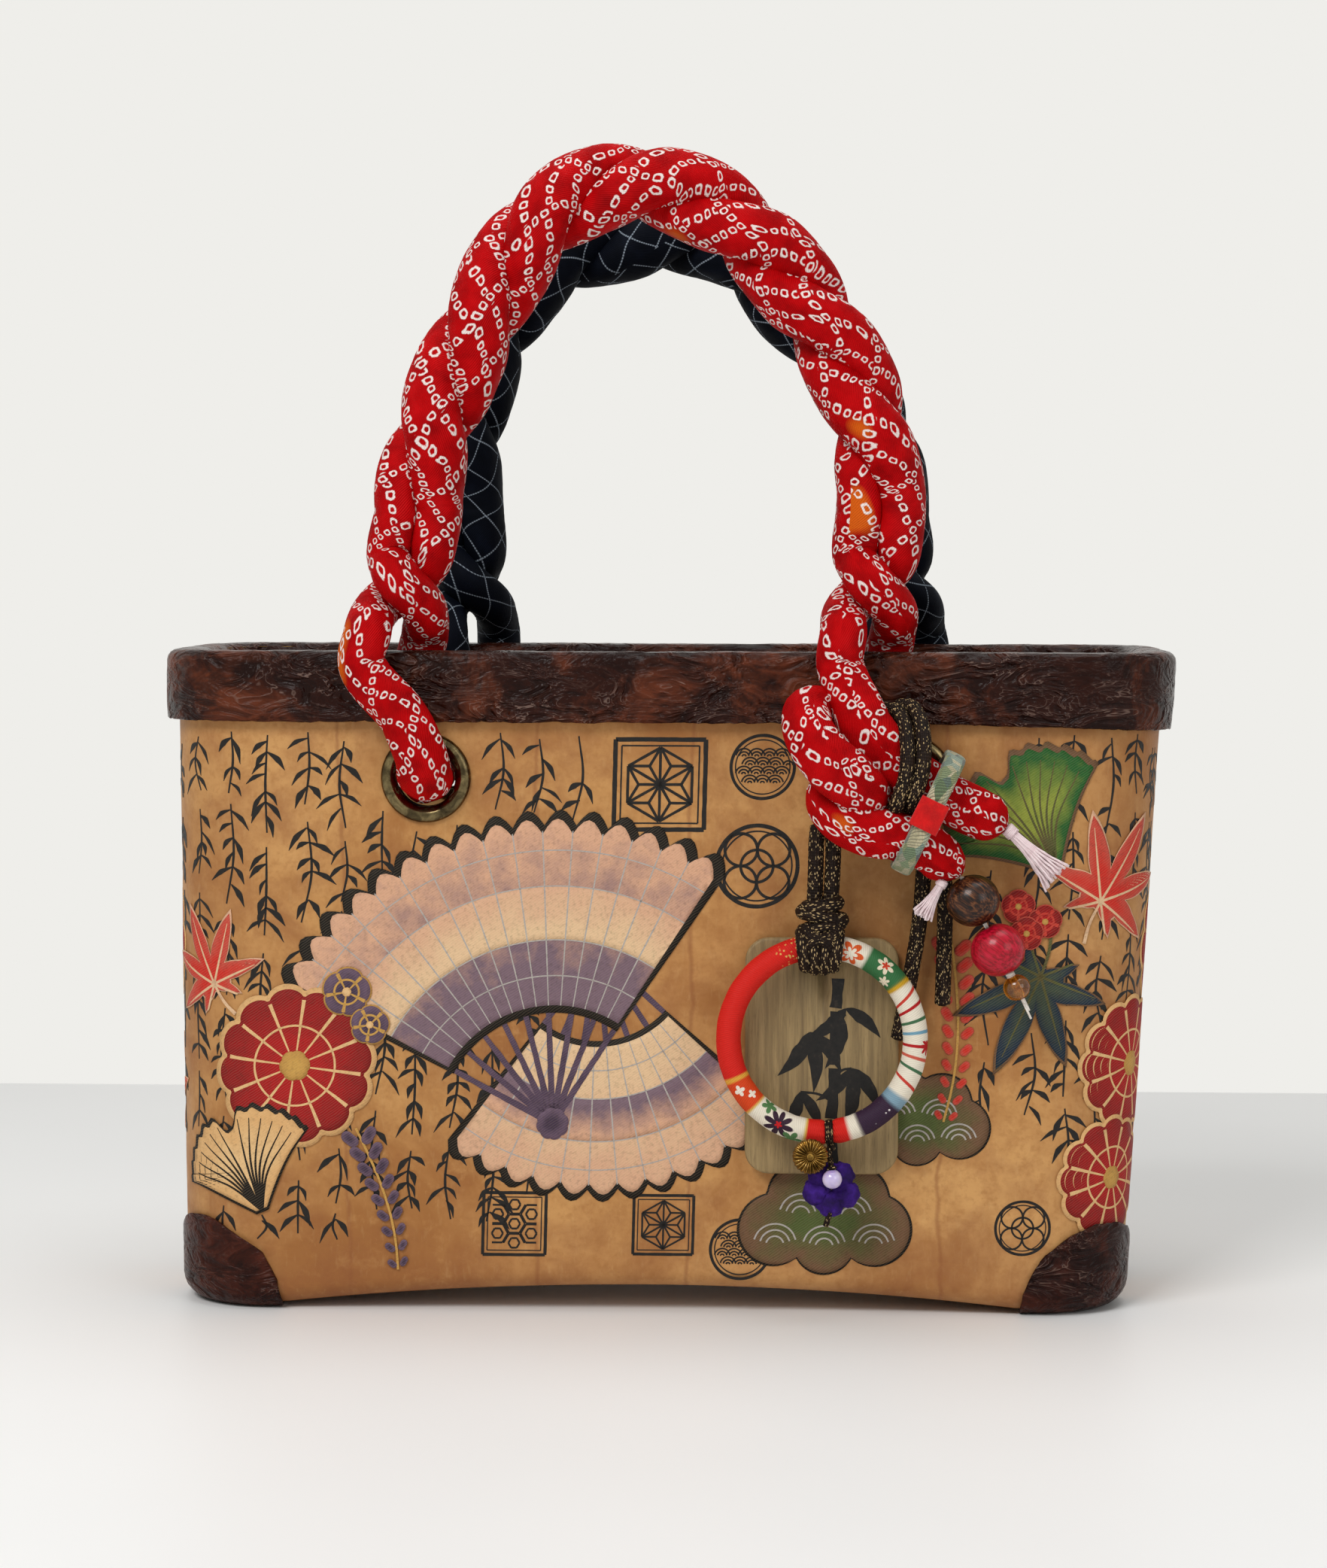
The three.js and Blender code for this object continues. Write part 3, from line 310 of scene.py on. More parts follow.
def joined(name, pieces):
    """One object from several that share their materials' order."""
    with bpy.context.temp_override(active_object=pieces[0], selected_editable_objects=pieces):
        bpy.ops.object.join()
    pieces[0].name = name
    return pieces[0]


def settle(piece, body, slot, *nodes):
    """Puts a piece on the body that it rides on and hides the CAD nodes that it stands for; slot, the finish,
    is not used.
    """
    if nodes:
        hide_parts(*nodes)
    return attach(piece, body)


def lerp(a, b, t):
    return a + (b - a) * t


def rough(x, y, z, size):
    """Smooth noise from -1 to 1 at a place in millimetres, with features of about that size."""
    return noise.noise(Vector((x / size, y / size, z / size)))


# Body surface
def half_width(z):
    return lerp(BODY_BASE[0], BODY_TOP[0], z / RIM_TOP) / 2


def half_depth(z):
    return lerp(BODY_BASE[1], BODY_TOP[1], z / RIM_TOP) / 2


def quarter_lengths(z):
    """Lengths along the outline, from the middle of the front to the middle of the back."""
    flat_x = half_width(z) - CORNER_RADIUS
    flat_y = half_depth(z) - CORNER_RADIUS
    arc = CORNER_RADIUS * math.pi / 2
    return flat_x, arc, 2 * flat_y


def on_skin(s, z, out=0.0, uneven=True):
    """The place on the paper at s along the outline, from the middle of the front to the right."""
    flat_x, arc, side = quarter_lengths(z)
    sign = math.copysign(1, s)
    d = abs(s)
    flat_y = side / 2
    if d < flat_x:
        x, y, nx, ny = d, -half_depth(z), 0, -1
    elif d < flat_x + arc:
        turn = (d - flat_x) / CORNER_RADIUS
        nx, ny = math.sin(turn), -math.cos(turn)
        x, y = flat_x + CORNER_RADIUS * nx, -flat_y + CORNER_RADIUS * ny
    elif d < flat_x + arc + side:
        x, y, nx, ny = half_width(z), d - flat_x - arc - flat_y, 1, 0
    elif d < flat_x + 2 * arc + side:
        turn = (d - flat_x - arc - side) / CORNER_RADIUS
        nx, ny = math.cos(turn), math.sin(turn)
        x, y = flat_x + CORNER_RADIUS * nx, flat_y + CORNER_RADIUS * ny
    else:
        x, y, nx, ny = 2 * flat_x + 2 * arc + side - d, half_depth(z), 0, 1
    x = BASE_SHIFT * (1 - z / RIM_TOP) + sign * x
    nx *= sign
    if uneven:
        out += UNEVEN * (0.7 * rough(x, y, z, 42) + 0.3 * rough(x + 300, y, z, 15))
    return x + out * nx, y + out * ny, z


def half_outline(z):
    flat_x, arc, side = quarter_lengths(z)
    return 2 * flat_x + 2 * arc + side


def base_lift(x):
    reach = BODY_BASE[0] / 2 - GUARD[0]
    t = min(1.0, abs(x - BASE_SHIFT) / reach)
    return BASE_ARCH * (1 - t * t)


# Camera, stage and light
FLOOR_FRONT = -3.0
FLOOR_BACK = 0.478
FLOOR_SIDE = 3.0
FLOOR_Z = -0.05
LAMP_AIM = Vector((0, 0, 0.16))
WORLD_LIGHT = 0.3
WALL_COLOUR = "efeeea"
LAMPS = (
    ("key_light", (-0.75, -1.35, 1.5), (0.9, 0.7), 22),
    ("fill_light", (1.2, -1.3, 0.7), (0.9, 0.9), 5),
    ("top_light", (0.1, 0.1, 1.7), (1.4, 1.0), 10),
)


def make_camera():
    data = bpy.data.cameras.new("camera")
    data.sensor_width = SENSOR
    data.lens = FOCAL_PIXELS / PHOTO_HEIGHT * SENSOR
    camera = bpy.data.objects.new("camera", data)
    level = math.cos(CAMERA_PITCH)
    forward = Vector((math.sin(CAMERA_YAW) * level, math.cos(CAMERA_YAW) * level, math.sin(CAMERA_PITCH)))
    turn = forward.to_track_quat("-Z", "Y").to_matrix().to_4x4()
    place = Matrix.Translation(Vector(CAMERA_PLACE) * MM)
    camera.matrix_world = place @ turn @ Matrix.Rotation(CAMERA_ROLL, 4, "Z")
    bpy.context.scene.collection.objects.link(camera)
    bpy.context.scene.camera = camera


def make_lamp(name, place, size, power):
    data = bpy.data.lights.new(name, "AREA")
    data.shape = "RECTANGLE"
    data.size, data.size_y = size
    data.energy = power
    lamp = bpy.data.objects.new(name, data)
    aim = LAMP_AIM - Vector(place)
    lamp.matrix_world = Matrix.Translation(place) @ aim.to_track_quat("-Z", "Y").to_matrix().to_4x4()
    bpy.context.scene.collection.objects.link(lamp)


def make_world():
    """Even light from all round, with a pale wall colour where the camera or a mirror sees it."""
    world = bpy.data.worlds.new("studio")
    world.use_nodes = True
    tree = world.node_tree
    back = tree.nodes["Background"]
    back.inputs["Color"].default_value = tone(WALL_COLOUR)
    rays = tree.nodes.new("ShaderNodeLightPath")
    seen = rays.outputs["Is Camera Ray"]
    for kind in ("Is Glossy Ray", "Is Transmission Ray"):
        either = tree.nodes.new("ShaderNodeMath")
        either.operation = "MAXIMUM"
        tree.links.new(seen, either.inputs[0])
        tree.links.new(rays.outputs[kind], either.inputs[1])
        seen = either.outputs[0]
    strength = tree.nodes.new("ShaderNodeMapRange")
    strength.inputs[3].default_value = WORLD_LIGHT
    strength.inputs[4].default_value = 1.0
    tree.links.new(seen, strength.inputs[0])
    tree.links.new(strength.outputs[0], back.inputs["Strength"])
    bpy.context.scene.world = world


def make_floor():
    look = Look("floor_white", Roughness=0.5)
    cloudy = look.noise(look.place, 2.5, 3)
    material = look.finish(look.ramp(cloudy, (0.3, "f1f1f0"), (0.7, "f6f6f5")))
    right, front, back = FLOOR_SIDE / MM, FLOOR_FRONT / MM, FLOOR_BACK / MM
    corners = [(-right, front), (right, front), (right, back), (-right, back)]
    points = [(x, y, FLOOR_Z) for x, y in corners]
    mesh_object("floor", points, [(0, 1, 2, 3)], material, smooth=False)


make_camera()
make_world()
make_floor()
for lamp in LAMPS:
    make_lamp(*lamp)
bpy.context.scene.view_settings.view_transform = "Standard"


# Paper, lacquer, brass and bamboo
SHEET_SEAMS = (-0.108, -0.043, 0.008, 0.092)


def paper_look(name, light, middle, dark, stain, depth):
    """Tanned paper: cloudy stains, a darker border of wear, fine fibres and shallow creases."""
    look = Look(name, Specular_IOR_Level=0.2)
    x, _, z = look.axes(look.place)
    cloud = look.noise(look.place, 13, 6, 0.62, 0.5)
    patch = look.noise(look.moved(look.place, shift=(3, 1, 2)), 46, 5, 0.6, 0.3)
    fleck = look.noise(look.place, 420, 3, 0.6)
    fibre = look.noise(look.moved(look.place, scale=(1, 1, 0.25)), 700, 2, 0.5)
    color = look.ramp(cloud, (0.36, dark), (0.49, middle), (0.62, light))
    color = look.stain(color, stain, patch, 0.47, 0.68, 0.55)
    mottle = look.noise(look.moved(look.place, shift=(1, 4, 2)), 150, 5, 0.65, 0.4)
    color = look.stain(color, dark, mottle, 0.48, 0.7, 0.4)
    color = look.stain(color, light, mottle, 0.46, 0.3, 0.35)
    ends = look.level(look.absolute(look.plus(x, 0.003)), 0.118, 0.166)
    low = look.level(z, 0.034, 0.004)
    high = look.level(z, 0.176, 0.204)
    border = look.most(look.most(ends, low), look.times(high, 0.55))
    border = look.times(border, look.level(patch, 0.25, 0.7, 0.35, 1.0))
    color = look.mix(look.times(border, depth), color, stain)
    wander = look.times(look.minus(cloud, 0.5), 0.012)
    for seam in SHEET_SEAMS:
        gap = look.absolute(look.minus(look.plus(x, wander), seam))
        color = look.stain(color, stain, gap, 0.0011, 0.0002, 0.5)
    color = look.stain(color, dark, fleck, 0.5, 0.7, 0.4)
    color = look.stain(color, "d9b47c", fibre, 0.58, 0.8, 0.14)
    crease = look.cells(look.moved(look.place, scale=(1, 1, 1.6)), 34, "DISTANCE_TO_EDGE")
    folds = look.level(look.plus(crease, look.times(patch, 0.12)), 0.05, 0.12)
    normal = look.bump(folds, 0.18, 0.0004)
    normal = look.bump(look.plus(fleck, look.times(cloud, 2.0)), 0.3, 0.0004, normal)
    return look.finish(color, look.level(patch, 0.3, 0.75, 0.42, 0.62), normal)


def lacquer_look(name, deep, warm, pale_wear_and_glint, gloss):
    """Crinkled dark paper under lacquer: red-brown patches, pale flecks of wear, pale crests that are partly
    wear and partly painted glints, painted shade in the hollows between the crests, and a broken shine.
    """
    look = Look(name, Specular_IOR_Level=0.1)
    long = look.moved(look.place, scale=(0.55, 0.55, 1.3))
    patch = look.noise(look.place, 30, 5, 0.65, 0.6)
    wrinkle = look.noise(long, 95, 3, 0.6, 1.1)
    calm = look.noise(look.place, 48, 2, 0.5)
    ridge = look.absolute(look.minus(wrinkle, 0.5))
    fine = look.noise(long, 620, 3, 0.6, 0.6)
    color = look.ramp(patch, (0.36, deep), (0.48, deep), (0.62, warm))
    color = look.stain(color, pale_wear_and_glint, fine, 0.6, 0.8, 0.22)
    # Painted shade: the hollows between the crests are darkened towards near black.
    color = look.stain(color, "0b0403", ridge, 0.03, 0.13, 0.55)
    # Painted glints, partly real wear: the crests are paled towards the pale tone, in patches.
    crest = look.level(ridge, 0.011, 0.0, 0.0, 1.0)
    crest_wear_and_glint = look.times(crest, look.level(calm, 0.4, 0.62, 0.06, 0.5))
    color = look.mix(crest_wear_and_glint, color, pale_wear_and_glint)
    crinkle = look.times(ridge, look.level(calm, 0.38, 0.62, -1.0, -4.2))
    height = look.plus(crinkle, look.times(fine, 0.12))
    return look.finish(
        color, look.level(patch, 0.3, 0.7, gloss, gloss + 0.22), look.bump(height, 1.0, 0.0022),
    )


def brass_look():
    look = Look("brass", Metallic=1.0)
    patch = look.noise(look.place, 160, 5, 0.65, 0.8)
    fine = look.noise(look.place, 900, 3, 0.6)
    color = look.ramp(patch, (0.3, "29231a"), (0.5, "524731"), (0.72, "8a7a55"))
    color = look.stain(color, "23180e", fine, 0.55, 0.75, 0.4)
    normal = look.bump(look.plus(fine, patch), 0.12, 0.0002)
    return look.finish(color, look.level(patch, 0.3, 0.7, 0.3, 0.14), normal)


def bamboo_look():
    look = Look("bamboo", Roughness=0.55)
    grain = look.noise(look.moved(look.place, scale=(1, 1, 0.05)), 900, 4, 0.6)
    split = look.wave(look.place, 90, 1.5, axis="Z")
    color = look.ramp(grain, (0.3, "8d6a36"), (0.6, "b88f52"), (0.8, "d0aa6c"))
    color = look.mix(look.level(split, 0.0, 0.2, 0.5, 0.0), color, "5e431f")
    return look.finish(color, normal=look.bump(split, 0.3, 0.0006))


BRASS = brass_look()
BAMBOO = bamboo_look()
COVER_PAPER = paper_look("tan_paper", "cd9b60", "bd8a52", "a06b39", "8c5632", 0.62)
LINING_PAPER = paper_look("lining_paper", "bd9765", "ad8452", "936a3d", "7c5534", 0.75)
RIM_LACQUER = lacquer_look("rim_lacquer", "2a1009", "5e2d1a", "9a8074", 0.16)
GUARD_LACQUER = lacquer_look("guard_lacquer", "280f0a", "4a2014", "8a7064", 0.16)

SKIN_COLUMNS = 264
WALL_ROWS = 54
EDGE_ROWS = 7
BASE_SCALES = (0.04, 0.25, 0.45, 0.65, 0.82, 0.93)
DRILL_HALF = 16
CORNERS = [
    (end, side, f"{side_name}_{end_name}")
    for side, side_name in ((-1, "front"), (1, "rear")) for end, end_name in ((-1, "left"), (1, "right"))
]


def body_rings(offset):
    """Rings of one paper layer from the middle of the base over the rounded edge to the top of the wall."""
    shares = [2 * (i + 0.5) / SKIN_COLUMNS - 1 for i in range(SKIN_COLUMNS)]
    bottom = BODY_BOTTOM - offset
    edge = EDGE_RADIUS + offset
    rows = []
    for i in range(EDGE_ROWS + 1):
        turn = math.pi / 2 * i / EDGE_ROWS
        rows.append((bottom + edge * (1 - math.cos(turn)), offset - edge * (1 - math.sin(turn))))
    start = bottom + edge
    for i in range(1, WALL_ROWS + 1):
        rows.append((lerp(start, WALL_TOP, i / WALL_ROWS), offset))
    rings = []
    for z, out in rows:
        fade = min(1.0, (WALL_TOP - z) / (WALL_TOP - start))
        ring = []
        for share in shares:
            x = on_skin(share * half_outline(z), z, out, False)[0]
            raised = z + base_lift(x) * fade
            ring.append(on_skin(share * half_outline(raised), raised, out))
        rings.append(ring)
    inner = []
    for scale in BASE_SCALES:
        ring = [(lerp(BASE_SHIFT, x, scale), y * scale, bottom) for x, y, _ in rings[0]]
        inner.append([(x, y, bottom + base_lift(x)) for x, y, _ in ring])
    return inner + rings


def hole_cutter():
    """Four drills for the eyelets, as one mesh."""
    drills = []
    profile = [(EYELET_HOLE, -DRILL_HALF), (EYELET_HOLE, DRILL_HALF)]
    for end, side, _ in CORNERS:
        drills.append(on_wall(lathe("drill", profile, BRASS, 48, False), end * EYELET_X, EYELET_Z, side))
    return joined("drills", drills)


def on_wall(piece, x, z, side):
    """Puts a piece that is made round +Y on the front or rear wall, pointing outward."""
    turn = math.pi + WALL_TILT if side < 0 else -WALL_TILT
    place = Matrix.Translation(Vector((x, side * half_depth(z), z)) * MM)
    piece.data.transform(place @ Matrix.Rotation(turn, 4, "X"))
    return piece


def make_layer(name, outside, inside, material, slot, node):
    rings = body_rings(outside) + body_rings(inside)[::-1]
    piece = carve(loft(name, rings, material), hole_cutter())
    return settle(piece, "basket", slot, node)


RIM_COLUMNS = 560
RIM_HIDDEN = 6
RIM_SHOULDER = 218.4
RIM_CURVE = (3.4, 3.6)
RIM_CROWN = 222.1
RIM_LINE = 210
RIM_PAPER = 0.7
RIM_SAG = 2.6
SAG_START = 60
SAG_LENGTH = 105
RIM_LEAN = 5.5
CRINKLE_SIDE = 0.85
CRINKLE_TOP = 0.7
CROWN_START = 220
CURVE_TURNS = (0.4, 0.8, 1.2)


def rim_curve(turn):
    """Distance in and height along the rounded top edge of the rim."""
    return RIM_CURVE[0] * (1 - math.cos(turn)), RIM_SHOULDER + RIM_CURVE[1] * math.sin(turn)


def rim_section(low):
    """Offset and height round the folded rim paper, from its lower edge over the top and back inside."""
    start = low + 0.3
    section = [(RIM_OUT - 0.5, low), (RIM_OUT, start)]
    for i in range(1, 10):
        section.append((RIM_OUT + 0.25 * math.sin(i / 9 * math.pi), lerp(start, RIM_SHOULDER, i / 9)))
    for turn in (*CURVE_TURNS, math.pi / 2):
        inset, z = rim_curve(turn)
        section.append((RIM_OUT - inset, z))
    section += [(-0.8, RIM_CROWN), (-2.3, RIM_CROWN), (-3.8, RIM_CROWN), (-5, RIM_TOP)]
    for turn in (*CURVE_TURNS[::-1], 0):
        inset, z = rim_curve(turn)
        section.append((RIM_IN + inset, z))
    section += [(RIM_IN, lerp(RIM_SHOULDER, RIM_BOTTOM, i / 7)) for i in range(1, 8)]
    section += [(RIM_IN + RIM_PAPER, RIM_BOTTOM), (RIM_IN + RIM_PAPER, RIM_LINE), (RIM_IN + 0.9, WALL_TOP)]
    return section + [(-2.3, 221), (RIM_OUT - 0.9, WALL_TOP), (RIM_OUT - RIM_PAPER, RIM_LINE)]


def crinkle(x, y, z):
    """Ridges and dents of pasted dark paper, in millimetres."""
    long = noise.noise(Vector((x / 9, y / 9, z / 4)))
    short = noise.noise(Vector((x / 3.4 + 50, y / 3.4, z / 1.9)))
    return 0.5 * (0.5 - abs(long)) + 0.28 * (0.4 - abs(short)) + 0.35 * rough(x, y, z, 30)


def make_rim():
    """The crinkled paper folded over the rim. Its ragged lower edge sags towards the right."""
    rings = []
    for i in range(RIM_COLUMNS):
        share = 2 * (i + 0.5) / RIM_COLUMNS - 1
        x = on_skin(share * half_outline(RIM_BOTTOM), RIM_BOTTOM)[0]
        ragged = 0.5 * rough(share * 40, 3, 0, 1) + 0.4 * rough(share * 170, 9, 0, 1)
        low = RIM_BOTTOM - 0.4 + ragged - RIM_SAG * min(1, max(0, (x - SAG_START) / SAG_LENGTH)) ** 2
        ring = []
        section = rim_section(low)
        for k, (out, z) in enumerate(section):
            s = share * half_outline(z)
            px, py, pz = on_skin(s, z, out, False)
            if k < len(section) - RIM_HIDDEN:
                grain = crinkle(px, py, pz)
                away = out - (RIM_OUT + RIM_IN) / 2
                lean = max(-1, min(1, away / RIM_LEAN))
                px, py, pz = on_skin(s, z, out + CRINKLE_SIDE * grain * lean, False)
                pz += CRINKLE_TOP * grain * (1 - abs(lean)) if z > CROWN_START else 0
            ring.append((px, py, pz))
        rings.append(ring)
    rim = loft("rim_paper", rings, RIM_LACQUER, loop=True)
    return settle(rim, "basket", "dark_paper", "rim_binding")


GUARD_SPREAD = 44
GUARD_STEP = 1.3
GUARD_HIGH = 42
GUARD_WALL_ROWS = 24
GUARD_BASE = (34, 28, 22, 16, 12, 8, 4)
BALL_ROWS = 40
BALL_COLUMNS = 80


def make_guard(name, end, side):
    """A crinkled patch folded over a lower corner, with an uneven edge."""
    flat_x, arc, depth = quarter_lengths(0)
    middle = flat_x + arc / 2 if side < 0 else flat_x + 1.5 * arc + depth
    count = int((arc + 2 * GUARD_SPREAD) / GUARD_STEP)
    along = [end * (middle + lerp(-0.5, 0.5, i / count) * (arc + 2 * GUARD_SPREAD)) for i in range(count + 1)]
    rows = [(0, -EDGE_RADIUS - k) for k in GUARD_BASE]
    edge = EDGE_RADIUS + GUARD_OUT
    for i in range(7):
        turn = math.pi / 2 * i / 6
        rows.append((edge * (1 - math.cos(turn)), -edge * (1 - math.sin(turn))))
    rows += [(lerp(edge, GUARD_HIGH, i / GUARD_WALL_ROWS), 0) for i in range(1, GUARD_WALL_ROWS + 1)]
    rings = []
    for z, inset in rows:
        outer = []
        inner = []
        for s in along:
            x, y, _ = on_skin(s, z, inset, False)
            grain = 0.0 if z < 0.01 else 0.55 * crinkle(x * 1.2, y * 1.2, z * 1.4)
            outer.append(on_skin(s, z, GUARD_OUT + inset + grain, False))
            lower = max(z, GUARD_OUT - GUARD_IN)
            inner.append(on_skin(s, lower, GUARD_IN + inset, False))
        rings.append(outer + inner[::-1])
    return carve(loft(name, rings, GUARD_LACQUER), guard_room(end, side), "INTERSECT")


def guard_room(end, side):
    """An uneven ball round a lower corner, which the guard's edge follows."""
    centre = Vector((BASE_SHIFT + end * BODY_BASE[0] / 2, side * BODY_BASE[1] / 2, 0))
    ball = []
    for i in range(1, BALL_ROWS):
        tilt = math.pi * i / BALL_ROWS
        ring = []
        for k in range(BALL_COLUMNS):
            turn = 2 * math.pi * k / BALL_COLUMNS
            way = Vector((math.sin(tilt) * math.cos(turn), math.sin(tilt) * math.sin(turn), math.cos(tilt)))
            reach = 1 + 0.035 * noise.noise(way * 3 + centre) + 0.02 * noise.noise(way * 9 + centre)
            ring.append([centre[a] + way[a] * GUARD[a] * reach for a in range(3)])
        ball.append(ring)
    return loft("corner_room", ball, GUARD_LACQUER)


def make_guards():
    for end, side, place in CORNERS:
        settle(make_guard(f"guard_{place}", end, side), "basket", "dark_paper", f"corner_guard_{place}")


EYELET_PROFILE = [
    (15, 0.3), (15, 0.6), (14.8, 1.15), (14.3, 1.7), (13.5, 2.15), (12.6, 2.3), (11.7, 2.15), (10.9, 1.7),
    (10.3, 1.1), (9.95, 0.5), (9.8, 0.1), (9.8, -2.5), (9.8, -6.1), (9.95, -6.55), (10.4, -6.8), (11.8, -6.8),
    (12.5, -6.65), (12.7, -6.4), (12.6, -6.05), (10.65, -6), (10.6, -5.8), (10.6, 0.3), (12.5, 0.3),
]
WASHER_PROFILE = [
    (10.9, -5), (11, -4.9), (14.4, -4.9), (14.5, -5), (14.5, -5.6), (14.4, -5.7), (11, -5.7), (10.9, -5.6),
]


def make_eyelets():
    for end, side, place in CORNERS:
        for kind, profile in (("eyelet", EYELET_PROFILE), ("eyelet_washer", WASHER_PROFILE)):
            ring = lathe(f"{kind}_brass_{place}", profile, BRASS)
            on_wall(ring, end * EYELET_X, EYELET_Z, side)
            settle(ring, "basket", "brass", f"{kind}_{place}")


make_layer("paper_skin", 0, -SKIN_THICK, COVER_PAPER, "tan_paper", "paper_cover")
make_layer("paper_inside", LINING_OUT, LINING_IN, LINING_PAPER, "lining_paper", "paper_lining")
make_rim()
make_guards()
make_eyelets()
for node in ("basket_core", "rim_hoop_outer", "rim_hoop_inner"):
    frame["nodes"][node].data.materials.clear()
    frame["nodes"][node].data.materials.append(BAMBOO)


# Smooth lines and tubes
def lengths(rows):
    """How far along a line each of its rows lies."""
    return np.concatenate([[0], np.cumsum(np.linalg.norm(np.diff(rows[:, :3], axis=0), axis=1))])


def through(rows, step):
    """Rows evenly spaced along a smooth line through given ones.

    The first three numbers of a row are its place, and the others go along with it.
    """
    rows = np.asarray(rows, float)
    chain = np.vstack([2 * rows[0] - rows[1], rows, 2 * rows[-1] - rows[-2]])
    fine = []
    for i in range(1, len(rows)):
        a, b, c, d = chain[i - 1:i + 3, :3]
        gaps = [max(1e-3, np.linalg.norm(n - m)) ** 0.5 for m, n in ((a, b), (b, c), (c, d))]
        k0, k1, k2, k3 = np.cumsum([0, *gaps])
        for share in np.linspace(0, 1, 20, endpoint=False):
            t = lerp(k1, k2, share)
            ab = lerp(a, b, (t - k0) / (k1 - k0))
            bc = lerp(b, c, (t - k1) / (k2 - k1))
            cd = lerp(c, d, (t - k2) / (k3 - k2))
            abc = lerp(ab, bc, (t - k0) / (k2 - k0))
            bcd = lerp(bc, cd, (t - k1) / (k3 - k1))
            fine.append([*lerp(abc, bcd, share), *lerp(chain[i, 3:], chain[i + 1, 3:], share)])
    fine.append(rows[-1])
    fine = np.array(fine)
    along = lengths(fine)
    marks = np.linspace(0, along[-1], max(2, round(along[-1] / step)) + 1)
    return np.column_stack([np.interp(marks, along, column) for column in fine.T])


def unit(vectors):
    return vectors / np.maximum(np.linalg.norm(vectors, axis=-1, keepdims=True), 1e-9)


def frames(places):
    """Tangents along a line of places, with two side directions that turn as little as they can."""
    ways = unit(np.gradient(places, axis=0))
    side = np.array((0, -1, 0), float)
    sides = []
    for way in ways:
        side = side - way * side.dot(way)
        if np.linalg.norm(side) < 0.05:
            side = np.cross(way, (0.3, 0.2, 0.9))
        side = unit(side)
        sides.append(side)
    sides = np.array(sides)
    return ways, sides, np.cross(ways, sides)


def even(size):
    """The radius of a tube that is as thick all along."""
    return lambda s, turn: size + 0 * s + 0 * turn


def tube(name, rows, radius, material, sides):
    """A tube along rows of places. radius takes the length along it and the angle, both as arrays."""
    places = np.asarray(rows, float)[:, :3]
    _, first, second = frames(places)
    along = lengths(places)
    turns = np.arange(sides) * 2 * math.pi / sides
    size = radius(along[:, None], turns[None, :])
    ways = first[:, None] * np.cos(turns)[None, :, None] + second[:, None] * np.sin(turns)[None, :, None]
    rings = places[:, None] + ways * size[..., None]
    around = 2 * math.pi * float(np.mean(size)) / sides
    uv = [[(s * MM, j * around * MM) for j in range(sides + 1)] for s in along]
    return loft(name, rings, material, uv=uv)


# Dyed cotton
def swayed(look, scale, shift, amount):
    """The places on the cloth, bent a little by soft noise."""
    u, v, _ = look.axes(look.uv())
    sway = look.noise(look.uv(), scale, 2, 0.5)
    swing = look.noise(look.moved(look.uv(), shift=shift), scale, 2, 0.5)
    return look.joined(look.times_plus(sway, amount, u), look.times_plus(swing, amount, v))


def dotted_look():
    """Red cotton with chains of small tied rings, in rows that cross."""
    look = Look("red_cloth", Specular_IOR_Level=0.05)
    bent = swayed(look, 42, (0.7, 0.3, 0), 0.014)
    rag = look.times(look.minus(look.noise(look.uv(), 760, 2, 0.5), 0.5), 0.0008)
    marks = None
    for turn, spacing, pitch in ((-0.78, 0.0143, 0.0036), (0.42, 0.0081, 0.0035)):
        x, y, _ = look.axes(look.moved(bent, turn=(0, 0, turn)))
        row = look.over(y, spacing)
        across = look.times(look.minus(look.fraction(row), 0.5), spacing)
        slid = look.times_plus(look.math("FLOOR", row), 0.37 * pitch, x)
        step = look.fraction(look.over(slid, pitch))
        length = look.times(look.minus(step, 0.5), pitch)
        cubes = [look.math("POWER", look.absolute(value), 3.0) for value in (across, length)]
        reach = look.math("POWER", look.plus(*cubes), 1 / 3)
        reach = look.plus(reach, rag)
        ring = look.times(look.level(reach, 0.00132, 0.00115), look.level(reach, 0.00058, 0.00078))
        if marks is None:
            marks = ring
            clear = look.level(look.absolute(across), 0.0017, 0.0019)
        else:
            marks = look.most(marks, look.times(ring, clear))
    cloud = look.noise(look.uv(), 130, 3, 0.55)
    color = look.ramp(cloud, (0.3, "970206"), (0.52, "ba0409"), (0.72, "cd090f"))
    blush = look.noise(look.moved(look.uv(), shift=(5, 2, 0)), 30, 2, 0.4)
    color = look.stain(color, "e06a16", blush, 0.69, 0.73, 0.85)
    weave = look.wave(look.moved(look.uv(), turn=(0, 0, 0.9)), 560)
    thread = look.wave(look.moved(look.uv(), turn=(0, 0, -0.6)), 900)
    color = look.mix(look.times(weave, 0.2), color, "860206")
    dots = look.times(marks, look.level(thread, 0.0, 0.6, 0.8, 1.0))
    color = look.mix(dots, color, "f6ebe5")
    height = look.times_plus(marks, 1.3, look.plus(weave, cloud))
    return look.finish(color, look.level(cloud, 0.3, 0.7, 0.62, 0.5), look.bump(height, 0.55, 0.0004))


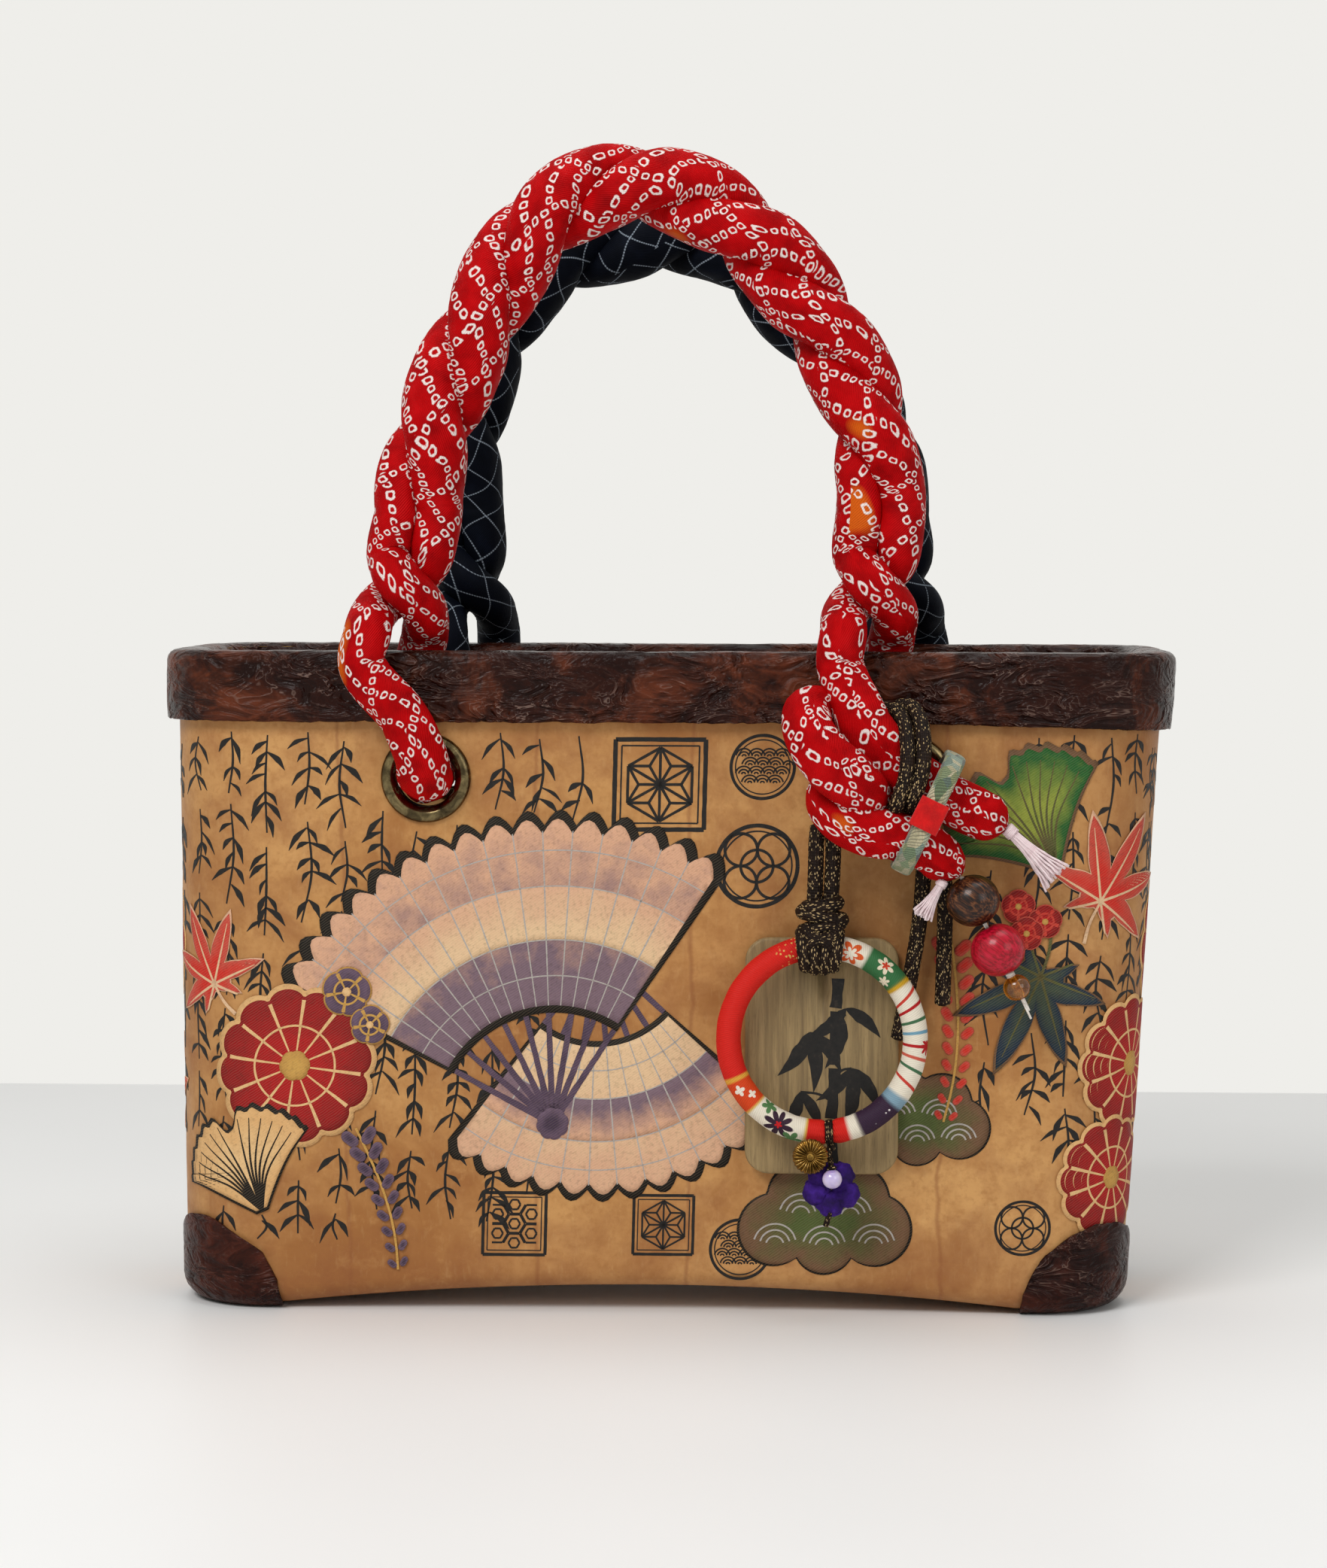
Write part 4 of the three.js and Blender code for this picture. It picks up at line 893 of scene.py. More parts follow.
def check_look():
    """Navy cotton with a fine check of stitched lines."""
    look = Look("navy_cloth", Specular_IOR_Level=0.05)
    bent = swayed(look, 30, (0.4, 0.9, 0), 0.009)
    lines = None
    for turn, spacing in ((0.62, 0.0092), (0.62 + math.pi / 2, 0.01)):
        x, y, _ = look.axes(look.moved(bent, turn=(0, 0, turn)))
        row = look.minus(look.fraction(look.over(y, spacing)), 0.5)
        across = look.times(look.absolute(row), spacing)
        stitch = look.level(look.fraction(look.over(x, 0.0008)), 0.4, 0.55, 0.3, 1.0)
        line = look.times(look.level(across, 0.00028, 0.00012), stitch)
        lines = line if lines is None else look.most(lines, line)
    cloud = look.noise(look.uv(), 110, 3, 0.55)
    color = look.ramp(cloud, (0.3, "03050a"), (0.55, "060912"), (0.75, "0b101c"))
    color = look.mix(look.times(lines, 0.8), color, "98a4b0")
    weave = look.wave(look.moved(look.uv(), turn=(0, 0, 0.8)), 620)
    height = look.plus(weave, look.times(lines, 0.6))
    return look.finish(color, look.level(cloud, 0.3, 0.7, 0.75, 0.6), look.bump(height, 0.25, 0.0003))


RED_CLOTH = dotted_look()
NAVY_CLOTH = check_look()

# The two handles: each one stuffed cloth rope, folded, twisted and knotted
HINGE_Z = 268
FOOT_TOP = 257.68
STRADDLE = 13.5
TWIST_RADIUS = 7.3
HALF_TURNS = 7
TWIST_EASE = 20
EYELET_WALL = half_depth(EYELET_Z)
WALL = 4.6
KNOT_BACK = -EYELET_WALL - 7.5
KNOT_LAYER = -EYELET_WALL - 18.5
KNOT_FRONT = -EYELET_WALL - 29.6
OUTSIDE = -1
INSIDE = 1
ROPE_STEP = 1.35
ROPE_SIDES = 30
ROPE_GIRTH = 48
STRAND_THIN = 7.3
STRAND_WIDE = 9.6
PLEATS = 11
PLEAT_REACH = 13
PLEAT_DEPTH = 0.75
SOFT_FOLD = 0.42
LOOSE_FOLD = 0.16
GATHERED_FOLD = 0.75
GATHER_DEPTH = 0.4

FRONT_HANDLE = {
    "bight": (-82.6, -91),
    "knot": (70.8, 66),
    "arch": [
        (-82.6, 0), (-82.3, 8), (-77, 28), (-69, 48), (-58, 70), (-44, 93), (-27, 104.5), (-11, 108),
        (6, 104.5), (24, 94), (42, 75), (56, 54.5), (66.5, 31), (70.7, 8), (70.8, 0),
    ],
}
REAR_HANDLE = {
    "bight": (-75, -81),
    "knot": (78, 74),
    "arch": [
        (-75, 0), (-75, 9), (-73.4, 20), (-68, 36), (-58.5, 52), (-41, 73.5), (-16, 97),
        (17, 98.5), (46, 90), (63.5, 70), (75, 40), (77.9, 8), (78, 0),
    ],
}


def foot_rows(hinge_x, rim_x, side):
    """One strand from the bending point down past the rim, in front of it or behind."""
    turns = [
        (TWIST_RADIUS, 0.3, FOOT_TOP, 7.6, 8.6, 0.5), (TWIST_RADIUS - 0.8, 1.8, FOOT_TOP - 5, 7.4, 7.8, 0),
        (1.5, 7.6, FOOT_TOP - 12, 6.8, 7.6, 0), (-7.4, 0.6, FOOT_TOP - 21, 6.8, 7.6, 0),
        (-8.4, -STRADDLE + 0.6, FOOT_TOP - 30.5, 7.3, 7.8, 0),
        (-8, -STRADDLE - 0.6, RIM_TOP - 4, 7.2, 7.8, 0),
    ]
    rows = []
    for x, y, z, thin, wide, flat in turns:
        centre = lerp(rim_x, hinge_x, (z - RIM_TOP) / (HINGE_Z - RIM_TOP))
        axis = (-side, 0, 0) if z > FOOT_TOP - 6 else (0, 1, 0)
        rows.append((centre - side * x, -RIM_MIDDLE - side * y, z, thin, wide, flat, *axis))
    return rows


def soft_rows(*stations):
    return [(*station, 0, 0, 1, 0) for station in stations]


def bight_rows(handle):
    hinge_x, rim_x = handle["bight"]
    outer = RIM_MIDDLE + STRADDLE
    inner = RIM_MIDDLE - STRADDLE
    x = -EYELET_X
    middle = soft_rows(
        (lerp(x, rim_x, 0.35) - 2, -outer, EYELET_Z + 20, 7.4, 8.2),
        (x - 1, -outer + 1.4, EYELET_Z + 9, 7.4, 8.8),
        (x, -EYELET_WALL - 4.5, EYELET_Z + 1.2, 7.8, 9.2), (x, -EYELET_WALL + WALL / 2, EYELET_Z, 7.8, 9),
        (x, -EYELET_WALL + WALL + 4, EYELET_Z + 1.2, 7.8, 9), (x + 1, -inner - 0.5, EYELET_Z + 9, 7.2, 8.2),
        (lerp(x, rim_x, 0.35) + 3, -inner, EYELET_Z + 20, 7.2, 7.6),
    )
    return foot_rows(hinge_x, rim_x, OUTSIDE) + middle + foot_rows(hinge_x, rim_x, INSIDE)[::-1]


def outer_rows(handle):
    """Down in front of the rim, behind the knot's loops and out to the first tail."""
    x, y, z = EYELET_X, KNOT_LAYER, EYELET_Z
    return foot_rows(*handle["knot"], OUTSIDE) + soft_rows(
        (x - 18, y + 1, z + 27, 6.6, 8.4), (x - 13, y - 2.2, z + 16.5, 6.2, 8.9),
        (x - 4, y, z + 6.5, 6, 8.6), (x + 9, y + 0.7, z - 2.5, 6.4, 8),
        (x + 20, y + 1.8, z - 8.6, 7.4, 8.2), (x + 26.5, y + 2.4, z - 11.8, 7.2, 7.9),
        (x + 30, y + 2.8, z - 13.5, 4.8, 5.3), (x + 31.8, y + 3, z - 14.4, 1.9, 1.9),
    )


def inner_rows(handle):
    """Down inside, out through the eyelet, twice round the other end and out to the second tail."""
    x, z = EYELET_X, EYELET_Z
    inner = RIM_MIDDLE - STRADDLE
    back, front = KNOT_BACK, KNOT_FRONT
    middle = (back + front) / 2
    return foot_rows(*handle["knot"], INSIDE) + soft_rows(
        (x - 2, -inner, z + 20, 7.2, 7.6), (x, -inner - 0.5, z + 9, 7.2, 8),
        (x, -EYELET_WALL + WALL + 4, z + 1.2, 7.4, 8.6), (x, -EYELET_WALL + WALL / 2, z, 7.2, 8.4),
        (x - 0.5, -EYELET_WALL - 3.4, z + 0.6, 6.4, 8), (x - 5, back + 0.4, z + 4, 5.6, 8),
        (x - 13, back, z + 10, 5.6, 8.4), (x - 20, back - 2.4, z + 17, 5.6, 8),
        (x - 28.6, back - 6.4, z + 22.8, 6, 8), (x - 32.8, back - 12.5, z + 23.4, 6.4, 8),
        (x - 33, front + 3.5, z + 18.5, 6.6, 8.2), (x - 29.6, front, z + 11.7, 6.6, 8.8),
        (x - 24.4, front, z + 5.8, 6.6, 9.4), (x - 18.8, front + 0.8, z + 1.4, 6.6, 9.2),
        (x - 14.6, front + 4.6, z - 2.8, 6.6, 8.2), (x - 13, middle, z - 6, 6.2, 7.4),
        (x - 15, back - 4, z - 8, 6, 7.2), (x - 18.6, back, z - 6.5, 6, 7.4),
        (x - 23, back - 1.4, z - 3.8, 6, 7.4), (x - 26, back - 6.5, z - 3.8, 6.2, 7.4),
        (x - 25.4, back - 12.5, z - 7.8, 6.4, 7.6), (x - 21.6, back - 16, z - 11.7, 6.6, 8.2),
        (x - 14.4, back - 17, z - 15, 6.8, 8.4), (x - 4, back - 15.5, z - 17.2, 6.6, 8.2),
        (x + 5.5, back - 13.5, z - 20.8, 7, 8), (x + 11.6, back - 12.2, z - 25.2, 6.6, 7.4),
        (x + 15.2, back - 11.7, z - 28.2, 4.6, 5), (x + 17, back - 11.4, z - 29.8, 1.8, 1.8),
    )


def arch_rows(handle, start):
    """One strand of the twist, from the folded end to the knot, flattened towards the other strand."""
    line = through([(x, -RIM_MIDDLE, HINGE_Z + rise) for x, rise in handle["arch"]], 3)
    ways = unit(np.gradient(line, axis=0))
    along = lengths(line)
    length = along[-1]
    full = length - TWIST_EASE
    rows = []
    for place, way, s in zip(line, ways, along):
        turned = s - TWIST_EASE / 2
        if s < TWIST_EASE:
            turned = s * s / (2 * TWIST_EASE)
        elif s > length - TWIST_EASE:
            turned = full - (length - s) ** 2 / (2 * TWIST_EASE)
        angle = start - math.pi * HALF_TURNS * turned / full
        outward = -np.cross(way, (0, 1, 0))
        radial = outward * math.cos(angle) + np.cross(way, outward) * math.sin(angle)
        swell = 0.35 * math.sin(s / 17 + start) + 0.25 * math.sin(s / 7.3 + 2 * start)
        section = (STRAND_THIN + 0.5 * swell, STRAND_WIDE + swell, 1)
        rows.append((*(place + radial * TWIST_RADIUS), *section, *radial))
    return rows


def wrinkles(s, turns, bend, inside, seed):
    """Small folds of the cloth in millimetres: gathers on the inside of bends and soft unevenness."""
    size = np.zeros((len(s), len(turns)))
    for i, length in enumerate(s):
        for j, turn in enumerate(turns):
            way = (math.cos(turn), math.sin(turn))
            soft = noise.noise(Vector((length / 11 + seed, 1.3 * way[0], 1.3 * way[1])))
            crease = noise.noise(Vector((length / 3.1 - seed, 1.1 * way[0] + 5, 1.1 * way[1])))
            pull = max(0.0, inside[i][j]) * min(1.0, bend[i] * 22)
            gather = 0.5 - abs(crease)
            size[i, j] = SOFT_FOLD * soft + (LOOSE_FOLD + GATHERED_FOLD * pull) * gather - GATHER_DEPTH * pull
    return size


def make_rope(name, handle, material, seed, back):
    """One unbroken rope, from the first tail over the twisted arch and the folded end to the second tail."""
    rows = outer_rows(handle)[::-1] + arch_rows(handle, 0)[::-1] + bight_rows(handle)
    rows += arch_rows(handle, math.pi) + inner_rows(handle)
    rows = through(rows, ROPE_STEP)
    places = rows[:, :3]
    thin, wide, flat = rows[:, 3], rows[:, 4], rows[:, 5]
    ways, first, second = frames(places)
    axis = unit(rows[:, 6:9] - ways * np.sum(rows[:, 6:9] * ways, axis=1, keepdims=True))
    cross = np.cross(ways, axis)
    s = np.arange(len(rows)) * ROPE_STEP
    turns = np.arange(ROPE_SIDES) * 2 * math.pi / ROPE_SIDES
    out = first[:, None] * np.cos(turns)[None, :, None] + second[:, None] * np.sin(turns)[None, :, None]
    to_thin = np.sum(out * axis[:, None], axis=2)
    to_wide = np.sum(out * cross[:, None], axis=2)
    inward = np.where(to_thin < 0, 1 + 0.06 * flat[:, None], 1)
    power = 2 + np.where(to_thin < 0, 1.3 * flat[:, None], 0.1 * flat[:, None])
    near = np.abs(to_thin) / (thin[:, None] * inward)
    reach = (near ** power + (np.abs(to_wide) / wide[:, None]) ** power) ** (-1 / power)
    curve = np.gradient(ways, s, axis=0)
    bend = np.linalg.norm(curve, axis=1)
    inside = np.sum(out * unit(curve)[:, None], axis=2)
    folds = wrinkles(s, turns, bend * (1 - 0.8 * flat), inside, seed)
    ends = np.minimum(s, s[-1] - s)
    gather = np.clip(1 - ends / PLEAT_REACH, 0, 1)[:, None]
    pleat = np.cos(PLEATS * turns + 0.9 * np.sin(3 * turns))[None, :]
    pleat = PLEAT_DEPTH * pleat * gather * np.clip(ends / 4, 0.25, 1)[:, None]
    reach = reach + folds * np.clip(ends / 6, 0.1, 1)[:, None] + pleat
    rings = places[:, None] + out * reach[..., None]
    if back:
        rings[..., :2] *= -1
    uv = [[(length * MM, j * ROPE_GIRTH / ROPE_SIDES * MM) for j in range(ROPE_SIDES + 1)] for length in s]
    return loft(name, rings, material, uv=uv)


HANDLES = (
    ("front", -1, FRONT_HANDLE, RED_CLOTH, "red_cloth", 3.0),
    ("rear", 1, REAR_HANDLE, NAVY_CLOTH, "navy_cloth", 40.0),
)


def make_handles():
    for side, way, handle, material, slot, seed in HANDLES:
        rope = make_rope(f"{side}_rope", handle, material, seed, way > 0)
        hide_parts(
            f"{side}_handle_strand_1", f"{side}_handle_strand_2", f"{side}_handle_bight",
            f"{side}_knot_outer_end", f"{side}_knot_inner_end",
        )
        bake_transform(rope)


make_handles()


# Cord, thread, brocade, felt and beads at the front knot
def at_knot(across, out, up):
    """A place given from the right front eyelet: across, out from the wall and up."""
    return EYELET_X + across, -EYELET_WALL - out, EYELET_Z + up


CORD = 5.3
CORD_STEP = 0.7
CORD_SIDES = 24


def cord_look():
    """Dark braid with a pale thread that shows as short flecks."""
    look = Look("dark_cord", Specular_IOR_Level=0.12)
    u, v, _ = look.axes(look.uv())
    rows = []
    for sign in (1, -1):
        lay = look.times_plus(v, sign * 1.1, u)
        rows.append(look.math("SINE", look.times(lay, 2 * math.pi / 0.0019)))
    braid = look.times(*rows)
    grid = look.moved(look.uv(), scale=(0.7, 1.3, 1), turn=(0, 0, 0.7))
    fleck = look.cells(grid, 1500, output="Color")
    chance, _, _ = look.axes(fleck)
    spot = look.cells(grid, 1500)
    pale = look.times(look.level(chance, 0.54, 0.6), look.level(spot, 0.46, 0.32))
    shade = look.noise(look.uv(), 300, 3, 0.6)
    color = look.ramp(shade, (0.3, "120b08"), (0.6, "22160f"), (0.8, "33241a"))
    # Painted shade: the sunken plaits, where the braid pattern is low, are darkened towards near black.
    color = look.stain(color, "060403", braid, -0.2, -0.9, 0.6)
    color = look.mix(look.times(pale, 0.9), color, "c4a878")
    height = look.times_plus(pale, 0.5, braid)
    return look.finish(color, look.level(shade, 0.3, 0.7, 0.7, 0.5), look.bump(height, 0.5, 0.0004))


DARK_CORD = cord_look()


def braided(size):
    """Radius of a braided cord with small raised plaits."""
    def radius(s, turn):
        plait = np.sin(s * 2.9 + 6 * turn) * np.sin(s * 2.9 - 6 * turn)
        return size * (0.96 + 0.05 * plait) + 0 * turn
    return radius


def cut_end(size, length):
    """The same, with its ends closed by a soft edge."""
    def radius(s, turn):
        edge = np.clip(np.minimum(s, length - s) / 0.9, 0, 1)
        return braided(size)(s, turn) * np.sqrt(1 - (1 - edge) ** 2 * 0.75)
    return radius


def length_of(rows):
    return float(lengths(rows)[-1])


def make_cord(name, stations):
    rows = through(stations, CORD_STEP)
    return tube(name, rows, cut_end(CORD / 2, length_of(rows)), DARK_CORD, CORD_SIDES), rows


HITCH_ROUTE = [
    (-6.5, 10.3, 24), (-2, 13.3, 24), (1, 20.3, 19.5), (2, 26.3, 11),
    (1.2, 28, 2.5), (-1.2, 27.2, -5), (-2.2, 22.6, -7.4), (-2.4, 17.5, -7.7),
]
HITCH_HALF = 2.55
TAILS = {
    "cord_tail_1": [
        (5.2, 11.6, -20), (5.2, 10.4, -28), (4.8, 7.6, -38), (3.6, 6.1, -50), (1, 6, -66), (-2.8, 6, -86),
    ],
    "cord_tail_2": [
        (11.1, 11.4, -21), (11.9, 10.3, -30), (12.4, 7.6, -41), (12.3, 6.1, -54), (11.8, 6, -74.5),
    ],
}


def make_hitch():
    runs = []
    route = through([at_knot(*place) for place in HITCH_ROUTE], 2)
    for k in (-1, 1):
        rows = [tuple(place + k * HITCH_HALF * np.array((1, 0, 0.25))) for place in route]
        runs.append(make_cord(f"hitch_{k}", rows)[0])
    settle(joined("charm_hitch", runs), "basket", "dark_cord", "cord_hitch")


def make_tails():
    for node, stations in TAILS.items():
        piece, rows = make_cord(node.replace("cord", "braid"), [at_knot(*place) for place in stations])
        settle(piece, "basket", "dark_cord", node)
        path = [[float(v) * MM for v in row[:3]] for row in rows]
        length_of(rows) * MM


# The woven band round both tails, with a felt wrap
BAND_MIDDLE = at_knot(6.2, 18.6, -9.6)
BAND_LEAN = 0.45
BAND_HALF = (20, 11.8)
BAND_WIDTH = 6.8
BAND_THICK = 3
BAND_LENGTH = 104
BAND_STEPS = 110
BAND_SIDES = 20
BAND_SQUARE = 0.55
WRAP_WIDTH = 9.8
WRAP_HEIGHT = 10.2
WRAP_STEPS = 40


def brocade_look():
    """Figured weave in grey green, cream and slate, with dark warp lines."""
    look = Look("brocade", Roughness=0.7, Sheen_Weight=0.15)
    block = look.cells(look.moved(look.uv(), scale=(0.8, 1.6, 1)), 330, output="Color")
    pick, other, _ = look.axes(block)
    color = look.ramp(
        pick, (0.0, "5c6e60"), (0.25, "8fa392"), (0.5, "cfc5a2"), (0.75, "b9b08c"), (1.0, "4b5a63"),
    )
    color = look.stain(color, "6b7f4a", other, 0.7, 0.8, 0.7)
    yarn = look.wave(look.moved(look.uv(), turn=(0, 0, 0.5)), 420, 1.5)
    cross = look.wave(look.moved(look.uv(), turn=(0, 0, -1.0)), 520, 1.0)
    color = look.stain(color, "2f332c", yarn, 0.3, 0.0, 0.65)
    height = look.plus(yarn, cross)
    return look.finish(color, normal=look.bump(height, 0.6, 0.0006))


def felt_look():
    look = Look("red_felt", Roughness=0.9, Sheen_Weight=0.3, Specular_IOR_Level=0.2)
    fuzz = look.noise(look.place, 2600, 4, 0.7)
    soft = look.noise(look.place, 300, 3, 0.6)
    color = look.ramp(soft, (0.35, "b60508"), (0.65, "d3090b"))
    color = look.stain(color, "f0442f", fuzz, 0.5, 0.8, 0.3)
    return look.finish(color, normal=look.bump(fuzz, 0.4, 0.0004))


BROCADE = brocade_look()
RED_FELT = felt_look()


def signed(value, power):
    """A power of a number's size, with the number's sign."""
    return math.copysign(abs(value) ** power, value)


def band_point(angle, out, across):
    """A place on the band's oval, by the angle round it and the distances out from it and across it."""
    along = np.array((math.sin(BAND_LEAN), 0, math.cos(BAND_LEAN)))
    side = np.array((math.cos(BAND_LEAN), 0, -math.sin(BAND_LEAN)))
    c, s = math.cos(angle), math.sin(angle)
    place = along * BAND_HALF[0] * signed(c, 0.5) + TO_FRONT * BAND_HALF[1] * signed(s, 0.5)
    normal = along * signed(c, 1.5) * BAND_HALF[1] + TO_FRONT * signed(s, 1.5) * BAND_HALF[0]
    return np.array(BAND_MIDDLE) + place + unit(normal) * out + side * across


def band_section(half_width, half_thick, angle, k):
    """One point of the band's rounded section, with the edges rolled in and a little uneven."""
    turn = 2 * math.pi * k / BAND_SIDES
    c, s = math.cos(turn), math.sin(turn)
    pucker = 1 + 0.05 * noise.noise(Vector((angle * 5, c, s)))
    across = half_width * signed(c, BAND_SQUARE) * pucker
    out = half_thick * signed(s, BAND_SQUARE) * pucker
    return out, across


def make_band():
    rings = []
    for i in range(BAND_STEPS):
        angle = 2 * math.pi * i / BAND_STEPS
        section = [band_section(BAND_WIDTH / 2, BAND_THICK / 2, angle, k) for k in range(BAND_SIDES)]
        rings.append([band_point(angle, *spot) for spot in section])
    uv = []
    for i in range(BAND_STEPS + 1):
        uv.append([(i * BAND_LENGTH / BAND_STEPS * MM, k * MM) for k in range(BAND_SIDES + 1)])
    band = loft("brocade_loop", rings, BROCADE, loop=True, uv=uv)
    settle(band, "basket", "brocade", "brocade_band")


def make_wrap():
    rings = []
    for i in range(WRAP_STEPS + 1):
        share = i / WRAP_STEPS
        angle = math.acos((2 * share - 1) * abs(2 * share - 1) * (WRAP_HEIGHT / 2 / BAND_HALF[0]) ** 2)
        wave = 0.12 * math.sin(share * 9)
        ends = 0.6 + 0.4 * min(1, 8 * min(share, 1 - share))
        ring = []
        for k in range(BAND_SIDES):
            out, across = band_section(WRAP_WIDTH / 2, 0.55 * ends, angle, k)
            ring.append(band_point(angle, BAND_THICK / 2 + 0.85 + out + wave, across))
        rings.append(ring)
    wrap = loft("felt_wrap", rings, RED_FELT)
    settle(wrap, "basket", "red_felt", "red_wrap")


make_hitch()
make_tails()
make_band()
make_wrap()


# Thread tassels and beads
def thread_look(name, light, dark):
    look = Look(name, Roughness=0.65, Sheen_Weight=0.2)
    strand = look.noise(look.moved(look.uv(), scale=(0.15, 1, 1)), 2600, 3, 0.6)
    color = look.ramp(strand, (0.3, dark), (0.55, light))
    return look.finish(color, normal=look.bump(strand, 0.3, 0.0002))


PALE_THREAD = thread_look("pale_thread", "f1dfe0", "c9a6ad")
WHITE_THREAD = thread_look("white_thread", "efe9e0", "b9aa98")
TASSEL_STRANDS = 46
TASSEL_LENGTH = 23.5
TASSEL_THICK = 0.42
NECK_RADIUS = 2.05
NECK_THICK = 0.4
NECK_TURNS = 5
NECK_STEPS = 14


def make_tassel(name, place, way, scale, spread, seed, node):
    """A bundle of fine threads that leave a wound neck and open to a brush."""
    draw = random.Random(seed)
    start = np.array(at_knot(*place))
    way = unit(np.array(way, float))
    side = unit(np.cross(way, (0.2, 1, 0.1)))
    other = np.cross(way, side)
    pieces = []
    for k in range(TASSEL_STRANDS):
        turn = 2.4 * k
        share = math.sqrt((k + 0.5) / TASSEL_STRANDS)
        off = side * math.cos(turn) + other * math.sin(turn)
        end = TASSEL_LENGTH * scale * draw.uniform(0.9, 1.03)
        rows = []
        for t in np.linspace(0, 1, 9):
            width = lerp(1.5, spread * (0.35 + 0.65 * t), min(1, max(0, (t - 0.16) / 0.84)) ** 1.1)
            wander = 0.35 * scale * t * np.array([draw.uniform(-1, 1) for _ in range(3)])
            rows.append(start + way * (0.2 + end * t) + off * share * width * math.sqrt(scale) + wander)
        thick = TASSEL_THICK * math.sqrt(scale)
        pieces.append(tube(f"{name}_{k}", through(rows, 1.5), even(thick), PALE_THREAD, 6))
    wound = []
    count = NECK_TURNS * NECK_STEPS
    for i in range(count + 1):
        turn = 2 * math.pi * i / NECK_STEPS
        reach = NECK_RADIUS * math.sqrt(scale)
        off = side * math.cos(turn) + other * math.sin(turn)
        wound.append(start + way * (0.8 + 2.9 * scale * i / count) + off * reach)
    pieces.append(tube(f"{name}_neck", np.array(wound), even(NECK_THICK), PALE_THREAD, 8))
    settle(joined(name, pieces), "basket", "pale_thread", node)


def wood_look(name, deep, middle, light, shine):
    """Turned wood with fine streaks of grain under a glossy finish."""
    look = Look(name, Specular_IOR_Level=0.12, Coat_Weight=shine, Coat_Roughness=0.2)
    bent = look.moved(look.place, turn=(0.5, 0.9, 0.3))
    grain = look.noise(look.moved(bent, scale=(1, 1, 0.06)), 1300, 3, 0.6, 0.2)
    pore = look.noise(look.moved(bent, scale=(6, 6, 0.3)), 420, 3, 0.6)
    color = look.ramp(grain, (0.4, deep), (0.52, middle), (0.65, light))
    color = look.stain(color, deep, pore, 0.57, 0.74, 0.4)
    height = look.plus(look.times(grain, 0.4), pore)
    return look.finish(color, look.level(pore, 0.35, 0.7, 0.32, 0.5), look.bump(height, 0.12, 0.0003))


def amber_look():
    look = Look("amber", Roughness=0.08, IOR=1.5, Transmission_Weight=0.75)
    swirl = look.noise(look.place, 180, 3, 0.6, 1.5)
    return look.finish(look.ramp(swirl, (0.3, "8a4d0c"), (0.55, "c98424"), (0.75, "e4b25a")))


BROWN_WOOD = wood_look("brown_wood", "130602", "3a1c0b", "6e4222", 0.4)
RED_WOOD = wood_look("red_wood", "860418", "b00824", "c01434", 0.4)
AMBER = amber_look()
BEAD_START = np.array(at_knot(17, 19, -30.2))
BEAD_SLANT = 0.47
BEAD_WAY = np.array((math.sin(BEAD_SLANT), 0, -math.cos(BEAD_SLANT)))


def ball_profile(wide, high, mouth, steps):
    """Radius and height along a ball's outline, from the angle of one mouth to the other."""
    tilts = [lerp(mouth, math.pi - mouth, i / steps) for i in range(steps + 1)]
    return [(wide * math.sin(tilt), -high * math.cos(tilt)) for tilt in tilts]


def make_bead(name, along, radius, hole, material, slot, node, flat):
    """A turned bead with a bored hole and softly rounded mouths, its axis along the thread."""
    mouth = math.asin(hole / radius)
    reach = radius * flat * math.cos(mouth)
    profile = ball_profile(radius, radius * flat, mouth, 24)
    profile += [(hole * 0.82, reach * 0.93), (hole * 0.8, 0), (hole * 0.82, -reach * 0.93)]
    bead = lathe(name, profile, material, 56)
    turn = Vector((0, 1, 0)).rotation_difference(Vector(BEAD_WAY)).to_matrix().to_4x4()
    bead.data.transform(Matrix.Translation(Vector(BEAD_START + BEAD_WAY * along) * MM) @ turn)
    settle(bead, "bead_drop", slot, node)


def make_beads():
    make_bead("wood_bead_brown", 9.1, 8.8, 2.1, BROWN_WOOD, "brown_wood", "bead_brown", 0.96)
    make_bead("wood_bead_red", 27.2, 9, 2.1, RED_WOOD, "red_wood", "bead_red", 0.95)
    make_bead("amber_bead", 41, 4.5, 1.3, AMBER, "amber", "bead_amber", 0.95)
    threads = []
    for k in range(3):
        turn = 2.1 * k
        rows = []
        for t in np.linspace(0, 1, 12):
            off = 0.45 * np.array((math.cos(turn + 5 * t), math.sin(turn + 5 * t), 0))
            rows.append(BEAD_START + BEAD_WAY * lerp(0.3, 46.5 + 3 * k, t) + off)
        threads.append(tube(f"bead_yarn_{k}", through(rows, 1.2), even(0.38), WHITE_THREAD, 8))
    rows = []
    for i in range(40):
        turn = 2 * math.pi * i / 9
        c = math.cos(turn)
        off = np.array((c * math.cos(BEAD_SLANT), math.sin(turn), c * math.sin(BEAD_SLANT)))
        rows.append(BEAD_START + BEAD_WAY * lerp(35.6, 37.2, i / 39) + off * 1.1)
    threads.append(tube("bead_knot", np.array(rows), even(0.45), WHITE_THREAD, 8))
    settle(joined("bead_yarn", threads), "bead_drop", "pale_thread", "bead_thread")


make_tassel("tassel_long", (31.6, 15.5, -14.4), (0.72, 0.05, -0.69), 1, 6, 5, "tassel_a")
make_tassel("tassel_short", (11.6, 20.2, -31.2), (-0.5, 0, -0.866), 0.6, 5, 8, "tassel_b")
make_beads()

